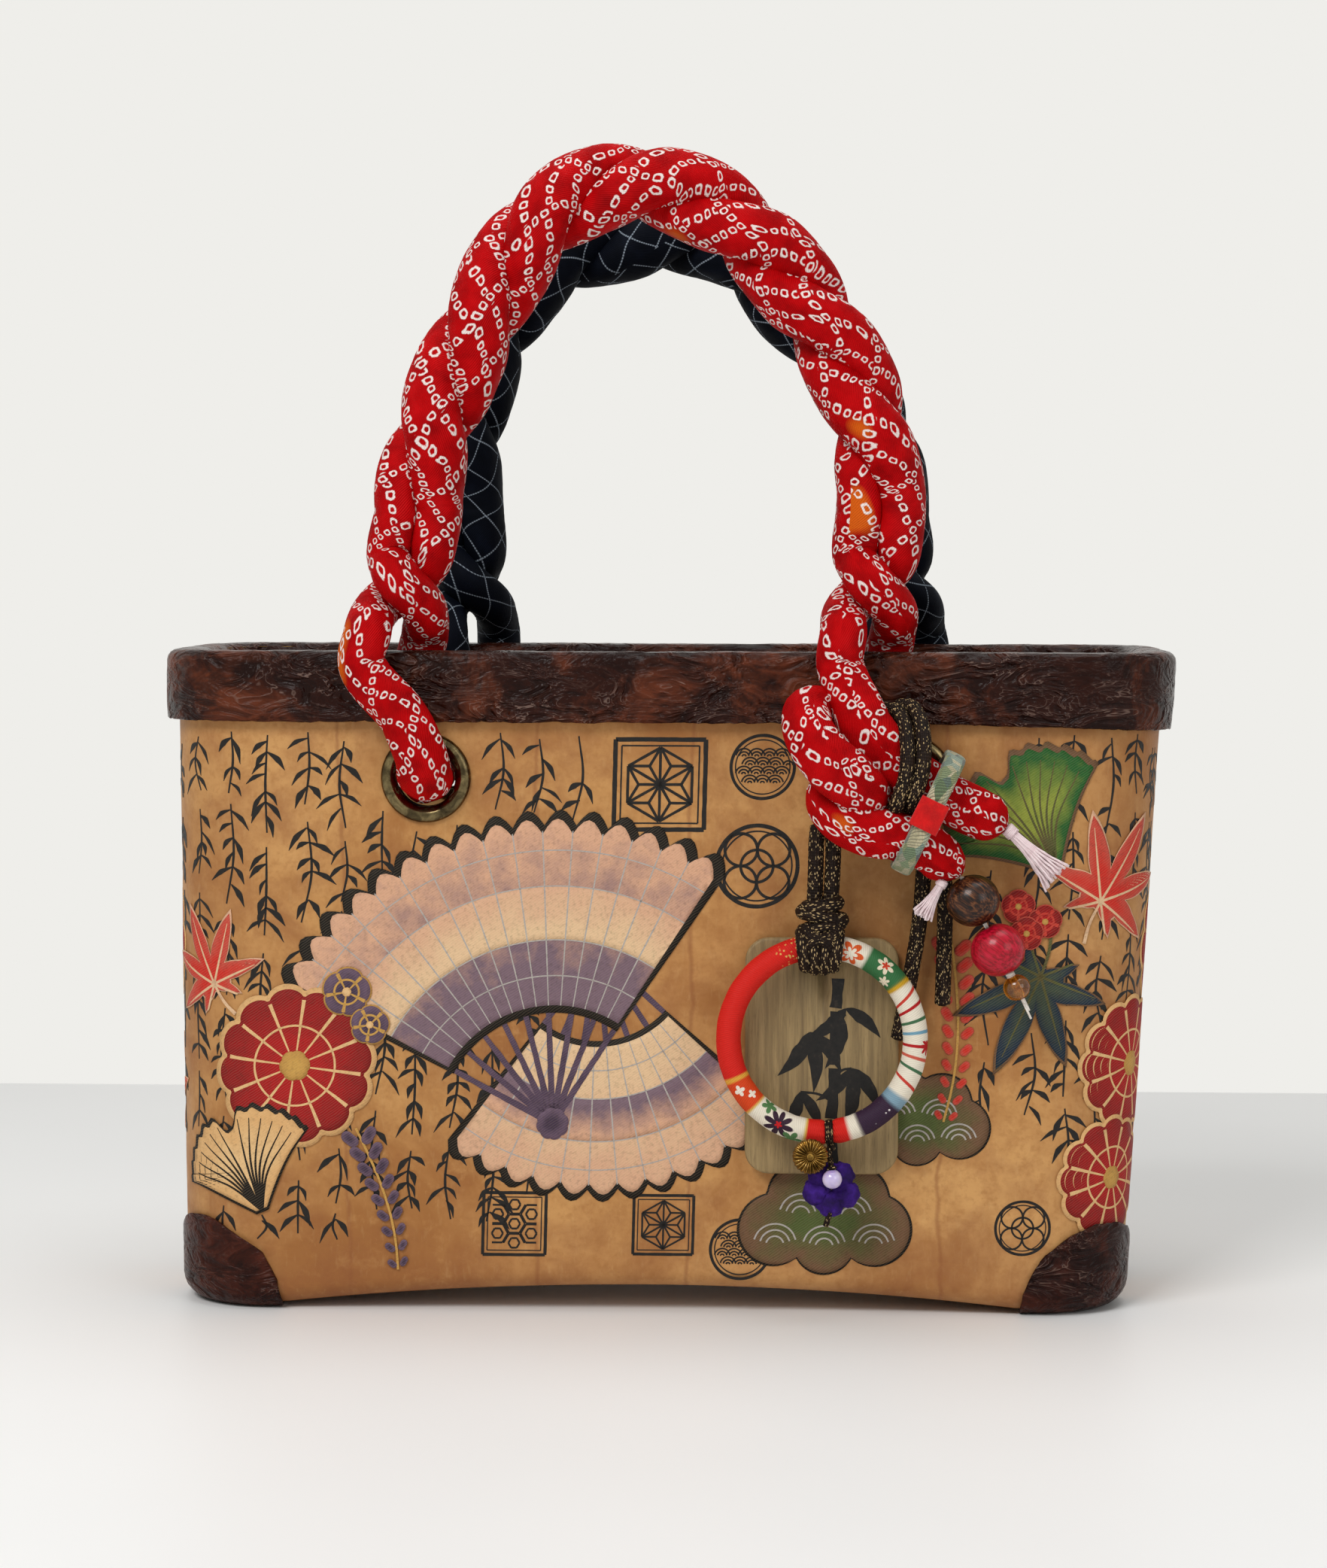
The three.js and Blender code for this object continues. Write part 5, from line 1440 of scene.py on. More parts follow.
# The patched ring, its knot and cords, the tag and the pendant
CHARM_X = 52
CHARM_Y = -68.6
RING_Z = 95
RING_MIDDLE = 30.75
RING_TUBE = 3.95
TAG_Y = (-58.74, -55.74)
RING_STEPS = 220
RING_SIDES = 28
RING_LENGTH = 2 * math.pi * RING_MIDDLE * MM
TIE_ANGLE = 275
LASH_RADIUS = 3.5
LASH_HALF = 1.1
LASH_TURNS = 3
LASH_STEPS = 20
UPPER_BALL = np.array((CHARM_X - 0.1, CHARM_Y, 135.6))
LOWER_BALL = np.array((CHARM_X - 0.8, CHARM_Y - 0.4, 124.7))
PATCH_EDGE = 0.0008
RAMP_STOPS = 31
PENDANT_X = 54.5
PEARL_PLACE = (55.6, -74.6, 49.6)
FLOWER_PLACE = np.array((55.1, -69, 45.6))
GOLD_PLACE = np.array((48.4, -76, 57.2))


def seen(look, u, v, at, size, petals):
    """A blossom at a place on the cloth: 1 on its petals, 0 off them."""
    du = look.minus(u, at[0])
    dv = look.minus(v, at[1])
    reach = look.math("SQRT", look.plus(look.times(du, du), look.times(dv, dv)))
    turn = look.math("ARCTAN2", dv, du)
    petal = look.absolute(look.math("COSINE", look.times(turn, petals / 2)))
    edge = look.over(reach, look.times_plus(petal, 0.62 * size, 0.38 * size))
    return look.level(edge, 1.06, 0.94)


def between(look, share, low, high, soft):
    """1 between two angles on the ring, with soft edges that many degrees wide."""
    rise = look.level(share, low / 360, (low + soft[0]) / 360)
    return look.times(rise, look.level(share, high / 360, (high - soft[1]) / 360))


def patch_look():
    """Printed crepe in patches round the ring, by the angle from the right, with stripes and blossoms."""
    look = Look("patch_cloth", Specular_IOR_Level=0.25)
    u, v, _ = look.axes(look.uv())
    share = look.over(u, RING_LENGTH)
    cream = "ece3cf"
    patches = [
        (0, cream), (34, "c89b1e"), (38, "2f6a3c"), (62, cream), (88, "5a1a12"), (98, "d3190c"),
        (203, "e0a23a"), (206, "d6420f"), (224, "d8b25a"), (226, cream), (259, "d9b85a"), (261, "d3190c"),
        (287, cream), (294, "2b1730"), (318, "7f9fb0"), (325, cream),
    ]
    stops = []
    for k, (angle, color) in enumerate(patches):
        if k:
            stops.append((angle / 360 - PATCH_EDGE, patches[k - 1][1]))
        stops.append((angle / 360, color))
    color = look.ramp(share, *stops[:RAMP_STOPS])
    fleck = look.cells(look.uv(), 900, output="Color")
    chance, pick, _ = look.axes(fleck)
    spot = look.level(look.cells(look.uv(), 900), 0.4, 0.2)
    gilt = between(look, share, 98, 119, (1, 2))
    shine = look.times(look.times(spot, look.level(chance, 0.45, 0.5)), gilt)
    color = look.mix(shine, color, "e3bd62")
    night = between(look, share, 295, 317, (2, 2))
    stars = look.times(look.times(spot, look.level(pick, 0.9, 0.93)), night)
    color = look.mix(stars, color, "efe6e6")
    for angle, side, size, petals, shade in (
        (243, 0.0005, 0.0052, 8, "2a1428"), (243, 0.0005, 0.0013, 5, "c4161a"),
        (232, -0.0036, 0.003, 5, "4d7a47"), (253, 0.0042, 0.0034, 5, "4d7a47"),
        (72, -0.0005, 0.0046, 6, "d8571d"), (72, -0.0005, 0.0024, 6, cream),
        (50, 0.0018, 0.003, 6, "e9dcc0"), (50, 0.0018, 0.0014, 5, "c8371a"),
        (44, -0.003, 0.0022, 6, "e9dcc0"), (212, 0.001, 0.0019, 4, "f0e3d2"),
        (218, -0.002, 0.0016, 4, "f0e3d2"), (357, 0.0046, 0.003, 8, "b31217"),
    ):
        mask = seen(look, u, v, (angle / 360 * RING_LENGTH, side), size, petals)
        color = look.mix(mask, color, shade)
    for angle, lean, shade in (
        (27, 0.35, "c93a2a"), (20, 0.22, "b31217"), (12, 0.1, "3d6b48"), (5, 0.03, "6f9fb5"),
        (-3, -0.05, "b31217"), (-10, -0.12, "cc5a46"), (-17, -0.2, "3d6b48"), (-26, -0.3, "c93a2a"),
    ):
        centre = ((angle + 360) % 360) / 360 * RING_LENGTH
        gap = look.absolute(look.minus(u, look.times_plus(v, lean, centre)))
        line = look.level(gap, 0.00062, 0.00042)
        color = look.mix(line, color, shade)
    weave = look.wave(look.moved(look.uv(), turn=(0, 0, 0.3)), 480)
    crepe = look.noise(look.uv(), 900, 3, 0.6)
    color = look.mix(look.times(weave, 0.14), color, "3a0d08")
    height = look.plus(weave, crepe)
    return look.finish(color, look.level(crepe, 0.3, 0.7, 0.7, 0.55), look.bump(height, 0.35, 0.0003))


PATCH_CLOTH = patch_look()


def ring_spot(angle):
    """The direction out of the ring's middle at an angle, and the place inside its tube."""
    outward = np.array((math.cos(angle), 0, math.sin(angle)))
    return outward, np.array((CHARM_X, CHARM_Y, RING_Z)) + outward * RING_MIDDLE


def make_ring():
    """A stuffed cloth tube bent to a ring, pinched at its tie and a little uneven."""
    rings = []
    for i in range(RING_STEPS):
        angle = 2 * math.pi * i / RING_STEPS
        outward, middle = ring_spot(angle)
        off_tie = math.degrees(angle) - TIE_ANGLE
        tie = math.exp(-(off_tie / 3.2) ** 2)
        ring = []
        for k in range(RING_SIDES):
            turn = 2 * math.pi * (k / RING_SIDES - 0.5)
            way = TO_FRONT * math.cos(turn) + outward * math.sin(turn)
            x = 60 * math.cos(angle) + 9 * math.cos(turn)
            fold = rough(x, 60 * math.sin(angle), 9 * math.sin(turn), 7)
            pleat = 0.35 * math.sin(9 * turn) * math.exp(-(off_tie / 7) ** 2)
            size = RING_TUBE * (1.03 - 0.3 * tie) + 0.16 * fold + pleat
            ring.append(middle + way * size * (1 if abs(turn) > 1 else 0.97))
        rings.append(ring)
    around = [(k / RING_SIDES - 0.5) * 2 * math.pi * RING_TUBE * MM for k in range(RING_SIDES + 1)]
    uv = [[(i / RING_STEPS * RING_LENGTH, v) for v in around] for i in range(RING_STEPS + 1)]
    ring = loft("patched_ring", rings, PATCH_CLOTH, loop=True, uv=uv)
    settle(ring, "ring_charm", "patch_cloth", "fabric_ring")


def turn_rows(centre, first, second, count=26, spin=0.0):
    """A closed oval of places round a centre, given by its two half axes."""
    angles = [spin + 2 * math.pi * i / count for i in range(count + 1)]
    first, second = np.array(first, float), np.array(second, float)
    return np.array([np.array(centre) + first * math.cos(a) + second * math.sin(a) for a in angles])


def make_charm_knot():
    """Two balls wound from the doubled cord: the upper one round the runs, the lower one over the ring."""
    pieces = []
    for lift, wide, tilt in ((-3.4, 6, 0.25), (0.3, 6.4, -0.2), (3.7, 5, 0.18)):
        rows = turn_rows(UPPER_BALL + (0, 0, lift), (wide, 0, tilt * wide), (0, 4.6, 0))
        pieces.append(tube("turn", through(rows, 0.8), braided(2.6), DARK_CORD, 18))
    for across, high, tilt in ((-5.2, 5.4, -0.12), (-1.8, 6.2, -0.04), (1.8, 6.2, 0.05), (5.2, 5.4, 0.13)):
        rows = turn_rows(LOWER_BALL + (across, 0, 0), (tilt * high, 0, high), (0, 5.8, 0), spin=0.6)
        pieces.append(tube("turn", through(rows, 0.8), braided(2.5), DARK_CORD, 18))
    for k in (-1, 1):
        rows = [UPPER_BALL + (k * 5, -3.6, -3), UPPER_BALL + (k * 3, -6.4, -6.2)]
        rows += [LOWER_BALL + (-k * 2, -6.8, 3.4), LOWER_BALL + (-k * 5.4, -3, -2)]
        pieces.append(tube("cross", through(rows, 0.8), braided(2.3), DARK_CORD, 18))
    loop = [
        (CHARM_X, CHARM_Y + 4, 121), (CHARM_X, -61, 119.9), (CHARM_X, -57, 119.8), (CHARM_X, -55.9, 119.8),
    ]
    pieces.append(tube("tag_loop", through(loop, 0.8), even(1.55), DARK_CORD, 12))
    settle(joined("charm_ball", pieces), "ring_charm", "dark_cord", "charm_knot")


def make_charm_runs():
    for side, end in ((-1, "left"), (1, "right")):
        rows = [
            (CHARM_X + 0.7 + side * 2.2, CHARM_Y + 0.6, 166), (CHARM_X + 0.7 + side * 2.75, CHARM_Y, 160),
            (CHARM_X + 0.5 + side * 2.75, CHARM_Y, 150), (CHARM_X + side * 2.6, CHARM_Y, 139),
        ]
        settle(make_cord(f"charm_run_{end}", rows)[0], "ring_charm", "dark_cord", f"charm_cord_{end}")


def make_lash():
    """Thread wound round the ring's bottom, with a short knot below."""
    angle = math.radians(TIE_ANGLE)
    outward, middle = ring_spot(angle)
    along = np.array((-math.sin(angle), 0, math.cos(angle)))
    rows = []
    count = LASH_TURNS * LASH_STEPS
    for i in range(count + 1):
        turn = 2 * math.pi * i / LASH_STEPS
        shift = along * lerp(-LASH_HALF, LASH_HALF, i / count)
        rows.append(middle + shift + (outward * math.cos(turn) + TO_FRONT * math.sin(turn)) * LASH_RADIUS)
    pieces = [tube("lash_turns", np.array(rows), even(0.62), DARK_CORD, 10)]
    knot = [
        middle + outward * 4.2,
        middle + outward * 5.2 + (0.6, -0.8, 0),
        middle + outward * 5.6 + (-0.4, 0.4, 0),
    ]
    pieces.append(tube("lash_knot", through(knot, 0.5), even(1.0), DARK_CORD, 10))
    settle(joined("ring_tie", pieces), "ring_charm", "dark_cord", "ring_lash")


make_ring()
make_charm_knot()
make_charm_runs()
make_lash()

# Wooden tag with a brushed sprig, and the small pendant
TAG_BOX = (26.5, 48.5, 77.5, 127.5)
TAG_CORNER = 8
TAG_HOLE = (CHARM_X, -57.2, 119.8)
TAG_BORE = 2.1
TAG_STEPS = 10
STALK_X = 56
STALK_JOINTS = ((52, 66), (67.2, 84), (85.2, 103), (104.2, 114))
TWIGS = ((60, 102), (48, 95), (62, 84), (45, 76))
TAG_LEAVES = (
    (60, 104, -2.5, 17, 4.6), (60, 104, -0.7, 15, 4.2), (59, 101, -1.9, 18, 5), (48, 96, -2.2, 18, 5.2),
    (48, 96, -0.9, 17, 4.6), (48, 95, -1.5, 19, 5), (62, 84, -2.4, 16, 4.4), (62, 84, -1.0, 17, 4.6),
    (62, 83, -1.7, 19, 5.2), (45, 76, -2.0, 15, 4.4), (45, 76, -1.1, 15, 4),
)


def tag_look():
    look = Look("tag_wood", Specular_IOR_Level=0.3)
    grain = look.noise(look.moved(look.place, scale=(1, 1, 0.05)), 620, 5, 0.62, 0.3)
    fine = look.noise(look.moved(look.place, scale=(1, 1, 0.12)), 2100, 3, 0.6)
    broad = look.noise(look.moved(look.place, scale=(1, 1, 0.3)), 60, 3, 0.5)
    color = look.ramp(grain, (0.3, "6f5c40"), (0.5, "8c7650"), (0.72, "a68d62"))
    color = look.stain(color, "a0875c", broad, 0.4, 0.7, 0.45)
    color = look.stain(color, "54442f", fine, 0.55, 0.75, 0.4)
    height = look.plus(grain, look.times(fine, 0.6))
    return look.finish(color, look.level(grain, 0.3, 0.7, 0.6, 0.45), look.bump(height, 0.2, 0.0003))


def ink_look():
    look = Look("brush_ink", Specular_IOR_Level=0.3)
    wash = look.noise(look.place, 500, 4, 0.65)
    color = look.ramp(wash, (0.3, "0a0908"), (0.6, "15110d"), (0.8, "33291f"))
    return look.finish(color, look.level(wash, 0.3, 0.7, 0.65, 0.4), look.bump(wash, 0.15, 0.0002))


TAG_WOOD = tag_look()
BRUSH_INK = ink_look()


def tag_ring(y, inset):
    """Places round the tag's outline, so far inside it."""
    left, right = TAG_BOX[0] + TAG_CORNER, TAG_BOX[2] - TAG_CORNER
    low, high = TAG_BOX[1] + TAG_CORNER, TAG_BOX[3] - TAG_CORNER
    reach = TAG_CORNER - inset
    ring = []
    for k, (x, z) in enumerate(((right, high), (left, high), (left, low), (right, low))):
        for i in range(TAG_STEPS + 1):
            turn = math.pi / 2 * (k + i / TAG_STEPS)
            ring.append((x + reach * math.cos(turn), y, z + reach * math.sin(turn)))
    return ring


def make_tag():
    front, back = TAG_Y
    rows = [(front, 5), (front, 1.1), (front + 0.15, 0.55), (front + 0.5, 0.15), (front + 0.9, 0)]
    rows += [(-y + front + back, inset) for y, inset in rows[::-1]]
    tag = loft("tag_board", [tag_ring(y, inset) for y, inset in rows], TAG_WOOD)
    drill = lathe("tag_drill", [(TAG_BORE, -6), (TAG_BORE, 6)], TAG_WOOD, 32, False)
    drill.data.transform(Matrix.Translation(Vector(TAG_HOLE) * MM))
    settle(carve(tag, drill), "tag", "tag_wood", "wooden_tag")


def brush(line, widths, seed):
    """A flat stroke: places left and right of a smooth line, with a width at each point and a ragged edge."""
    rows = through([(x, 0, z, w) for (x, z), w in zip(line, widths)], 0.7)
    ways = unit(np.gradient(rows[:, :3], axis=0))
    across = np.cross(ways, (0, 1, 0))
    pairs = []
    for i, (row, side) in enumerate(zip(rows, across)):
        pair = []
        for sign in (-1, 1):
            rag = 1 + 0.16 * noise.noise(Vector((i * 0.21, sign * 4, seed)))
            place = row[:3] + side * sign * max(0.05, row[3] / 2) * rag
            pair.append((place[0], place[2]))
        pairs.append(pair)
    return pairs


def ribbons(strokes, front, back):
    """Points and faces of thin closed strips. front and back put a flat point of stroke k in space."""
    points = []
    faces = []
    for k, pairs in enumerate(strokes):
        start = len(points)
        for left, right in pairs:
            points += [front(left, k), front(right, k), back(right, k), back(left, k)]
        for i in range(start, len(points) - 4, 4):
            faces += [(i + n, i + (n + 1) % 4, i + 4 + (n + 1) % 4, i + 4 + n) for n in range(4)]
        faces.append(tuple(range(start, start + 4)))
        faces.append(tuple(range(len(points) - 4, len(points))))
    return points, faces


def leaf_stroke(x, z, angle, length, width, seed):
    """One pointed leaf of a single brush press."""
    way = np.array((math.cos(angle), math.sin(angle)))
    bow = np.array((-way[1], way[0])) * 0.08 * length
    shares = (0, 0.12, 0.35, 0.6, 0.85, 1)
    line = [np.array((x, z)) + way * length * t + bow * math.sin(math.pi * t) for t in shares]
    return brush(line, [0.5, 0.6 * width, width, 0.85 * width, 0.35 * width, 0.1], seed)


def make_tag_ink():
    """A brushed bamboo: a jointed stalk, twigs and leaves, each stroke a hair over the one before."""
    strokes = []
    for k, (low, high) in enumerate(STALK_JOINTS):
        line = [(STALK_X + 0.03 * (z - 80) + 0.4 * math.sin(z), z) for z in (low, (low + high) / 2, high)]
        strokes.append(brush(line, (4.2, 3.4, 4.3), 20 + k))
    for k, (x, z) in enumerate(TWIGS):
        line = [(STALK_X, z - 3), ((STALK_X + x) / 2, z - 0.5), (x, z)]
        strokes.append(brush(line, (1.1, 0.8, 0.9), 60 + k))
    for k, leaf in enumerate(TAG_LEAVES):
        strokes.append(leaf_stroke(*leaf, 40 + k))

    def front(spot, k):
        return spot[0], TAG_Y[0] - 0.05 - 0.003 * k, spot[1]

    def back(spot, _):
        return spot[0], TAG_Y[0] + 0.05, spot[1]

    points, faces = ribbons(strokes, front, back)
    settle(mesh_object("tag_ink", points, faces, BRUSH_INK, smooth=False), "tag", "tag_wood")


# Pendant
def crepe_look():
    look = Look("purple_crepe", Specular_IOR_Level=0.2, Roughness=0.75)
    wave = look.noise(look.moved(look.place, turn=(0.4, 0.2, 0.9), scale=(1, 1, 0.35)), 1500, 4, 0.65, 0.8)
    broad = look.noise(look.place, 260, 3, 0.5)
    color = look.ramp(broad, (0.3, "1b063c"), (0.55, "2f0f66"), (0.75, "43208a"))
    return look.finish(color, normal=look.bump(wave, 0.55, 0.0005))


def pearl_look():
    look = Look("pearl", Coat_Weight=0.7, Coat_Roughness=0.08, Roughness=0.3, Subsurface_Weight=0.15)
    cloud = look.noise(look.place, 220, 3, 0.5)
    return look.finish(look.ramp(cloud, (0.3, "b79cd6"), (0.6, "d9c6e8")))


def gold_look():
    look = Look("gold", Metallic=1.0)
    patch = look.noise(look.place, 420, 4, 0.6)
    dirt = look.cells(look.place, 700)
    color = look.ramp(patch, (0.3, "4d3616"), (0.55, "98773a"), (0.75, "d3b77a"))
    color = look.stain(color, "33220d", dirt, 0.25, 0.0, 0.5)
    return look.finish(color, look.level(patch, 0.3, 0.7, 0.4, 0.24))


CREPE = crepe_look()
PEARL = pearl_look()
GOLD = gold_look()
PETAL_LUMPS = 0.2
PETAL_REACH = (5.2, 4.9, 4.6, 5, 5.4)
PETAL_ROWS = 23
PETAL_COLUMNS = 36


def puff(name, centre, axes, seed, pinch):
    """A stuffed petal: an uneven ball with three half axes, drawn in towards a pinch."""
    rings = []
    for i in range(1, PETAL_ROWS):
        tilt = math.pi * i / PETAL_ROWS
        ring = []
        for k in range(PETAL_COLUMNS):
            turn = 2 * math.pi * k / PETAL_COLUMNS
            way = np.array((math.sin(tilt) * math.cos(turn), math.cos(tilt), math.sin(tilt) * math.sin(turn)))
            size = 1 + PETAL_LUMPS * noise.noise(Vector(way * 2.2) + Vector((seed, 0, 0)))
            size += 0.4 * PETAL_LUMPS * noise.noise(Vector(way * 6) + Vector((0, seed, 0)))
            place = np.array(centre) + (axes[0] * way[0] + axes[1] * way[1] + axes[2] * way[2]) * size
            near = np.linalg.norm(place - pinch)
            ring.append(lerp(place, np.array(pinch), 0.35 * math.exp(-(near / 4) ** 2)))
        rings.append(ring)
    return loft(name, rings, CREPE)


def make_crepe_flower():
    pieces = []
    for k in range(len(PETAL_REACH)):
        turn = math.radians(52 + 72 * k)
        way = np.array((math.cos(turn), 0, math.sin(turn)))
        side = np.array((-math.sin(turn), 0, math.cos(turn)))
        reach = PETAL_REACH[k]
        axes = (way * 4.5, np.array((0, -3.1, 0)), side * 4.7)
        centre = FLOWER_PLACE + way * reach
        pieces.append(puff(f"petal_{k}", centre, axes, 3 * k + 1, FLOWER_PLACE + (0, -2.2, 0)))
    settle(joined("crepe_petals", pieces), "pendant", "purple_crepe", "crepe_flower")


def make_pearl():
    profile = ball_profile(3.25, 3.2, 0.16, 20) + [(0.42, 3.0), (0.4, 0), (0.42, -3.0)]
    ball = lathe("pearl_bead", profile, PEARL, 44)
    place = Matrix.Translation(Vector(PEARL_PLACE) * MM)
    ball.data.transform(place @ Matrix.Rotation(math.pi / 2, 4, "X"))
    settle(ball, "pendant", "pearl", "pearl")


def make_pendant_cord():
    rows = [(PENDANT_X, -69.4, 59), (PENDANT_X + 0.2, -71.5, 56), (55.4, -74, 53.4), (55.6, -74.6, 50)]
    threads = [tube("hang", through(rows, 0.6), braided(0.95), DARK_CORD, 14)]
    rows = [(55.2, -69.5, 41), (55, -70, 38.4), (54.2, -70, 35.4), (53.6, -69.6, 33.2)]
    threads.append(tube("tail", through(rows, 0.6), braided(1.05), DARK_CORD, 14))
    rows = turn_rows((55.4, -74.2, 53.2), (1.1, 0, 0.2), (0, 1.1, 0), 14)
    threads.append(tube("tie", rows, even(0.6), DARK_CORD, 10))
    settle(joined("pendant_cord", threads), "pendant", "dark_cord", "pendant_thread")


# Radius, height and depth of the ribs from the boss over the edge to the back
GOLD_PROFILE = (
    (0.25, 1.5, 0), (0.9, 1.55, 0.05), (1.3, 1.2, 0.1), (1.5, 0.7, 0.1), (1.9, 0.75, 0.5), (2.6, 1.05, 0.9),
    (3.6, 1.15, 1.2), (4.6, 1, 1.2), (5.3, 0.65, 0.9), (5.75, 0.2, 0.3), (5.8, -0.3, 0.1), (5.5, -0.7, 0),
    (3, -0.8, 0), (0.3, -0.8, 0),
)
GOLD_COLUMNS = 192


def make_gold_flower():
    """A pressed metal flower: fine ribs round a small boss, with a scalloped edge and a flat back."""
    rings = []
    for radius, height, rib in GOLD_PROFILE:
        ring = []
        for k in range(GOLD_COLUMNS):
            turn = 2 * math.pi * k / GOLD_COLUMNS
            ridge = abs(math.cos(12 * turn))
            reach = radius * (1 + 0.05 * (ridge - 0.5) * (radius > 4.5))
            out = -height - rib * (ridge - 0.5)
            ring.append(GOLD_PLACE + (reach * math.cos(turn), out, reach * math.sin(turn)))
        rings.append(ring)
    settle(loft("gold_blossom", rings, GOLD), "ring_charm", "gold", "gold_flower")


make_tag()
make_tag_ink()
make_crepe_flower()
make_pearl()
make_pendant_cord()
make_gold_flower()

# Pasted cut-outs and brushed sprigs on the paper: generic motifs, drawn flat and laid on the skin
INK_OUT = 0.06
CUT_OUT = 0.14
CUT_LIFT = 0.025
CUT_EDGE = 0.12

# The colour in the middle of a cut-out and the one at its edge
DYES = {
    "red": ("a80d15", "860b11"),
    "rose": ("c8281f", "c04a3c"),
    "peach": ("76606c", "d6a585"),
    "pale": ("e0bd94", "d6a887"),
    "mauve": ("3d2f44", "675266"),
    "cream": ("e2bb85", "d8a970"),
    "black": ("0b0908", "060606"),
    "green": ("8f9a3c", "1d5a26"),
    "teal": ("3c4a3c", "10283a"),
    "moss": ("4c5a2c", "6b4d36"),
    "silver": ("b3ada6", "a39c98"),
    "gold": ("c79a4e", "b98a44"),
}


def dyed_look(name, middle, edge):
    """Dyed crepe: one colour runs into another from the middle outwards, with a grain and a mottle."""
    look = Look(name, Specular_IOR_Level=0.12)
    reach, _, _ = look.axes(look.uv())
    mottle = look.noise(look.place, 130, 4, 0.6)
    grain = look.wave(look.moved(look.place, turn=(0, 0.6, 0)), 420, 3, 2, axis="Z")
    fine = look.noise(look.place, 900, 3, 0.6)
    run = look.plus(reach, look.level(mottle, 0.3, 0.7, -0.2, 0.2))
    color = look.ramp(run, (0.25, middle), (0.95, edge))
    color = look.stain(color, "2a1a12", fine, 0.5, 0.75, 0.3)
    color = look.mix(look.times(grain, 0.05), color, "f0d9b8")
    height = look.plus(grain, fine)
    return look.finish(color, look.level(mottle, 0.3, 0.7, 0.7, 0.5), look.bump(height, 0.25, 0.0002))


DYED = {name: dyed_look(f"dyed_{name}", *codes) for name, codes in DYES.items()}

# The side on the wall shows nowhere, so only every third row is kept there.
UNDER_STEP = 3


def placed(points, at, turn, size):
    """Flat points moved to a place on the skin, in millimetres along the outline and upwards."""
    c, s = math.cos(math.radians(turn)) * size, math.sin(math.radians(turn)) * size
    return [(at[0] + c * u - s * v, at[1] + s * u + c * v) for u, v in points]


class Collage:
    """Gathers flat shapes, later ones over earlier ones, and pastes them on the skin as one piece."""

    def __init__(self, name):
        self.name = name
        self.pieces = []
        self.level = CUT_OUT

    def up(self):
        self.level += CUT_LIFT

    def level_at(self, count):
        """Starts a group that lies over so many layers."""
        self.level = CUT_OUT + count * CUT_LIFT

    def sheet(self, rows, dye, closed):
        """Rows of flat points from the middle outwards, closed round the middle or open at both ends."""
        count = len(rows[0])
        sides = [(self.level, row, i) for i, row in enumerate(rows)]
        under = sorted({0, len(rows) - 1, *range(0, len(rows), UNDER_STEP)}, reverse=True)
        sides += [(self.level - CUT_EDGE, rows[i], i) for i in under]
        rings = [[on_skin(s, z, out) for s, z in row] for out, row, _ in sides]
        uv = [[(i / (len(rows) - 1), j / count) for j in range(count + 1)] for _, _, i in sides]
        if not closed:
            rings = np.swapaxes(np.array(rings), 0, 1)
            uv = [[row[j] for row in uv] + [uv[0][j]] for j in range(count)]
        self.pieces.append(loft(self.name, rings, DYED[dye], uv=uv))

    def shape(self, outline, dye, at, turn, size):
        """A shape that is seen whole from its middle."""
        rows = []
        for t in np.linspace(0.06, 1, max(4, int(size / 2.5))):
            rows.append(placed([(u * t, v * t) for u, v in outline], at, turn, size))
        self.sheet(rows, dye, True)

    def cut(self, outline, dye, at, turn, size):
        """A shape with a layer of its own."""
        self.shape(outline, dye, at, turn, size)
        self.up()

    def lines(self, strokes, material, at, turn, size, top, low):
        """Strokes as (points, widths in millimetres), between two heights over the skin."""
        flat = []
        for k, (line, widths) in enumerate(strokes):
            flat.append(brush(placed(line, at, turn, size), widths, len(self.pieces) + 0.37 * k))
        points, faces = ribbons(
            flat, lambda spot, _: on_skin(*spot, top), lambda spot, _: on_skin(*spot, low),
        )
        uv = [[(0.5, 0.5)] * len(face) for face in faces]
        self.pieces.append(mesh_object(self.name, points, faces, material, uv, False))

    def draw(self, strokes, dye, at, turn, size):
        """Strokes of dyed paper with a layer of their own."""
        self.lines(strokes, DYED[dye], at, turn, size, self.level, self.level - CUT_EDGE)
        self.up()

    def ink(self, strokes, at, size):
        """Strokes of ink on the bare skin."""
        self.lines(strokes, BRUSH_INK, at, 0, size, INK_OUT, 0)

    def finish(self):
        settle(joined(self.name, self.pieces), "basket", "tan_paper")


def polar(reach, count=120):
    """The outline whose distance from the middle is given for each angle."""
    turns = [2 * math.pi * k / count for k in range(count)]
    return [(reach(a) * math.cos(a), reach(a) * math.sin(a)) for a in turns]


def petals(count, depth, power=0.6):
    return polar(lambda a: 1 - depth + depth * abs(math.cos(count * a / 2)) ** power, 30 * max(4, count // 2))


def corners(tips, bulge, steps):
    """A leaf's outline: from corner to corner along edges that swell a little."""
    outline = []
    for (u, v), (m, n) in zip(tips, tips[1:] + tips[:1]):
        for i in range(steps):
            t = i / steps
            swell = bulge * math.sin(math.pi * t)
            outline.append((lerp(u, m, t) + swell * (n - v), lerp(v, n, t) - swell * (m - u)))
    return outline


MAPLE_LOBES = ((-140, 0.5), (-98, 0.8), (-45, 0.96), (0, 1.08), (45, 0.96), (98, 0.8), (140, 0.5))


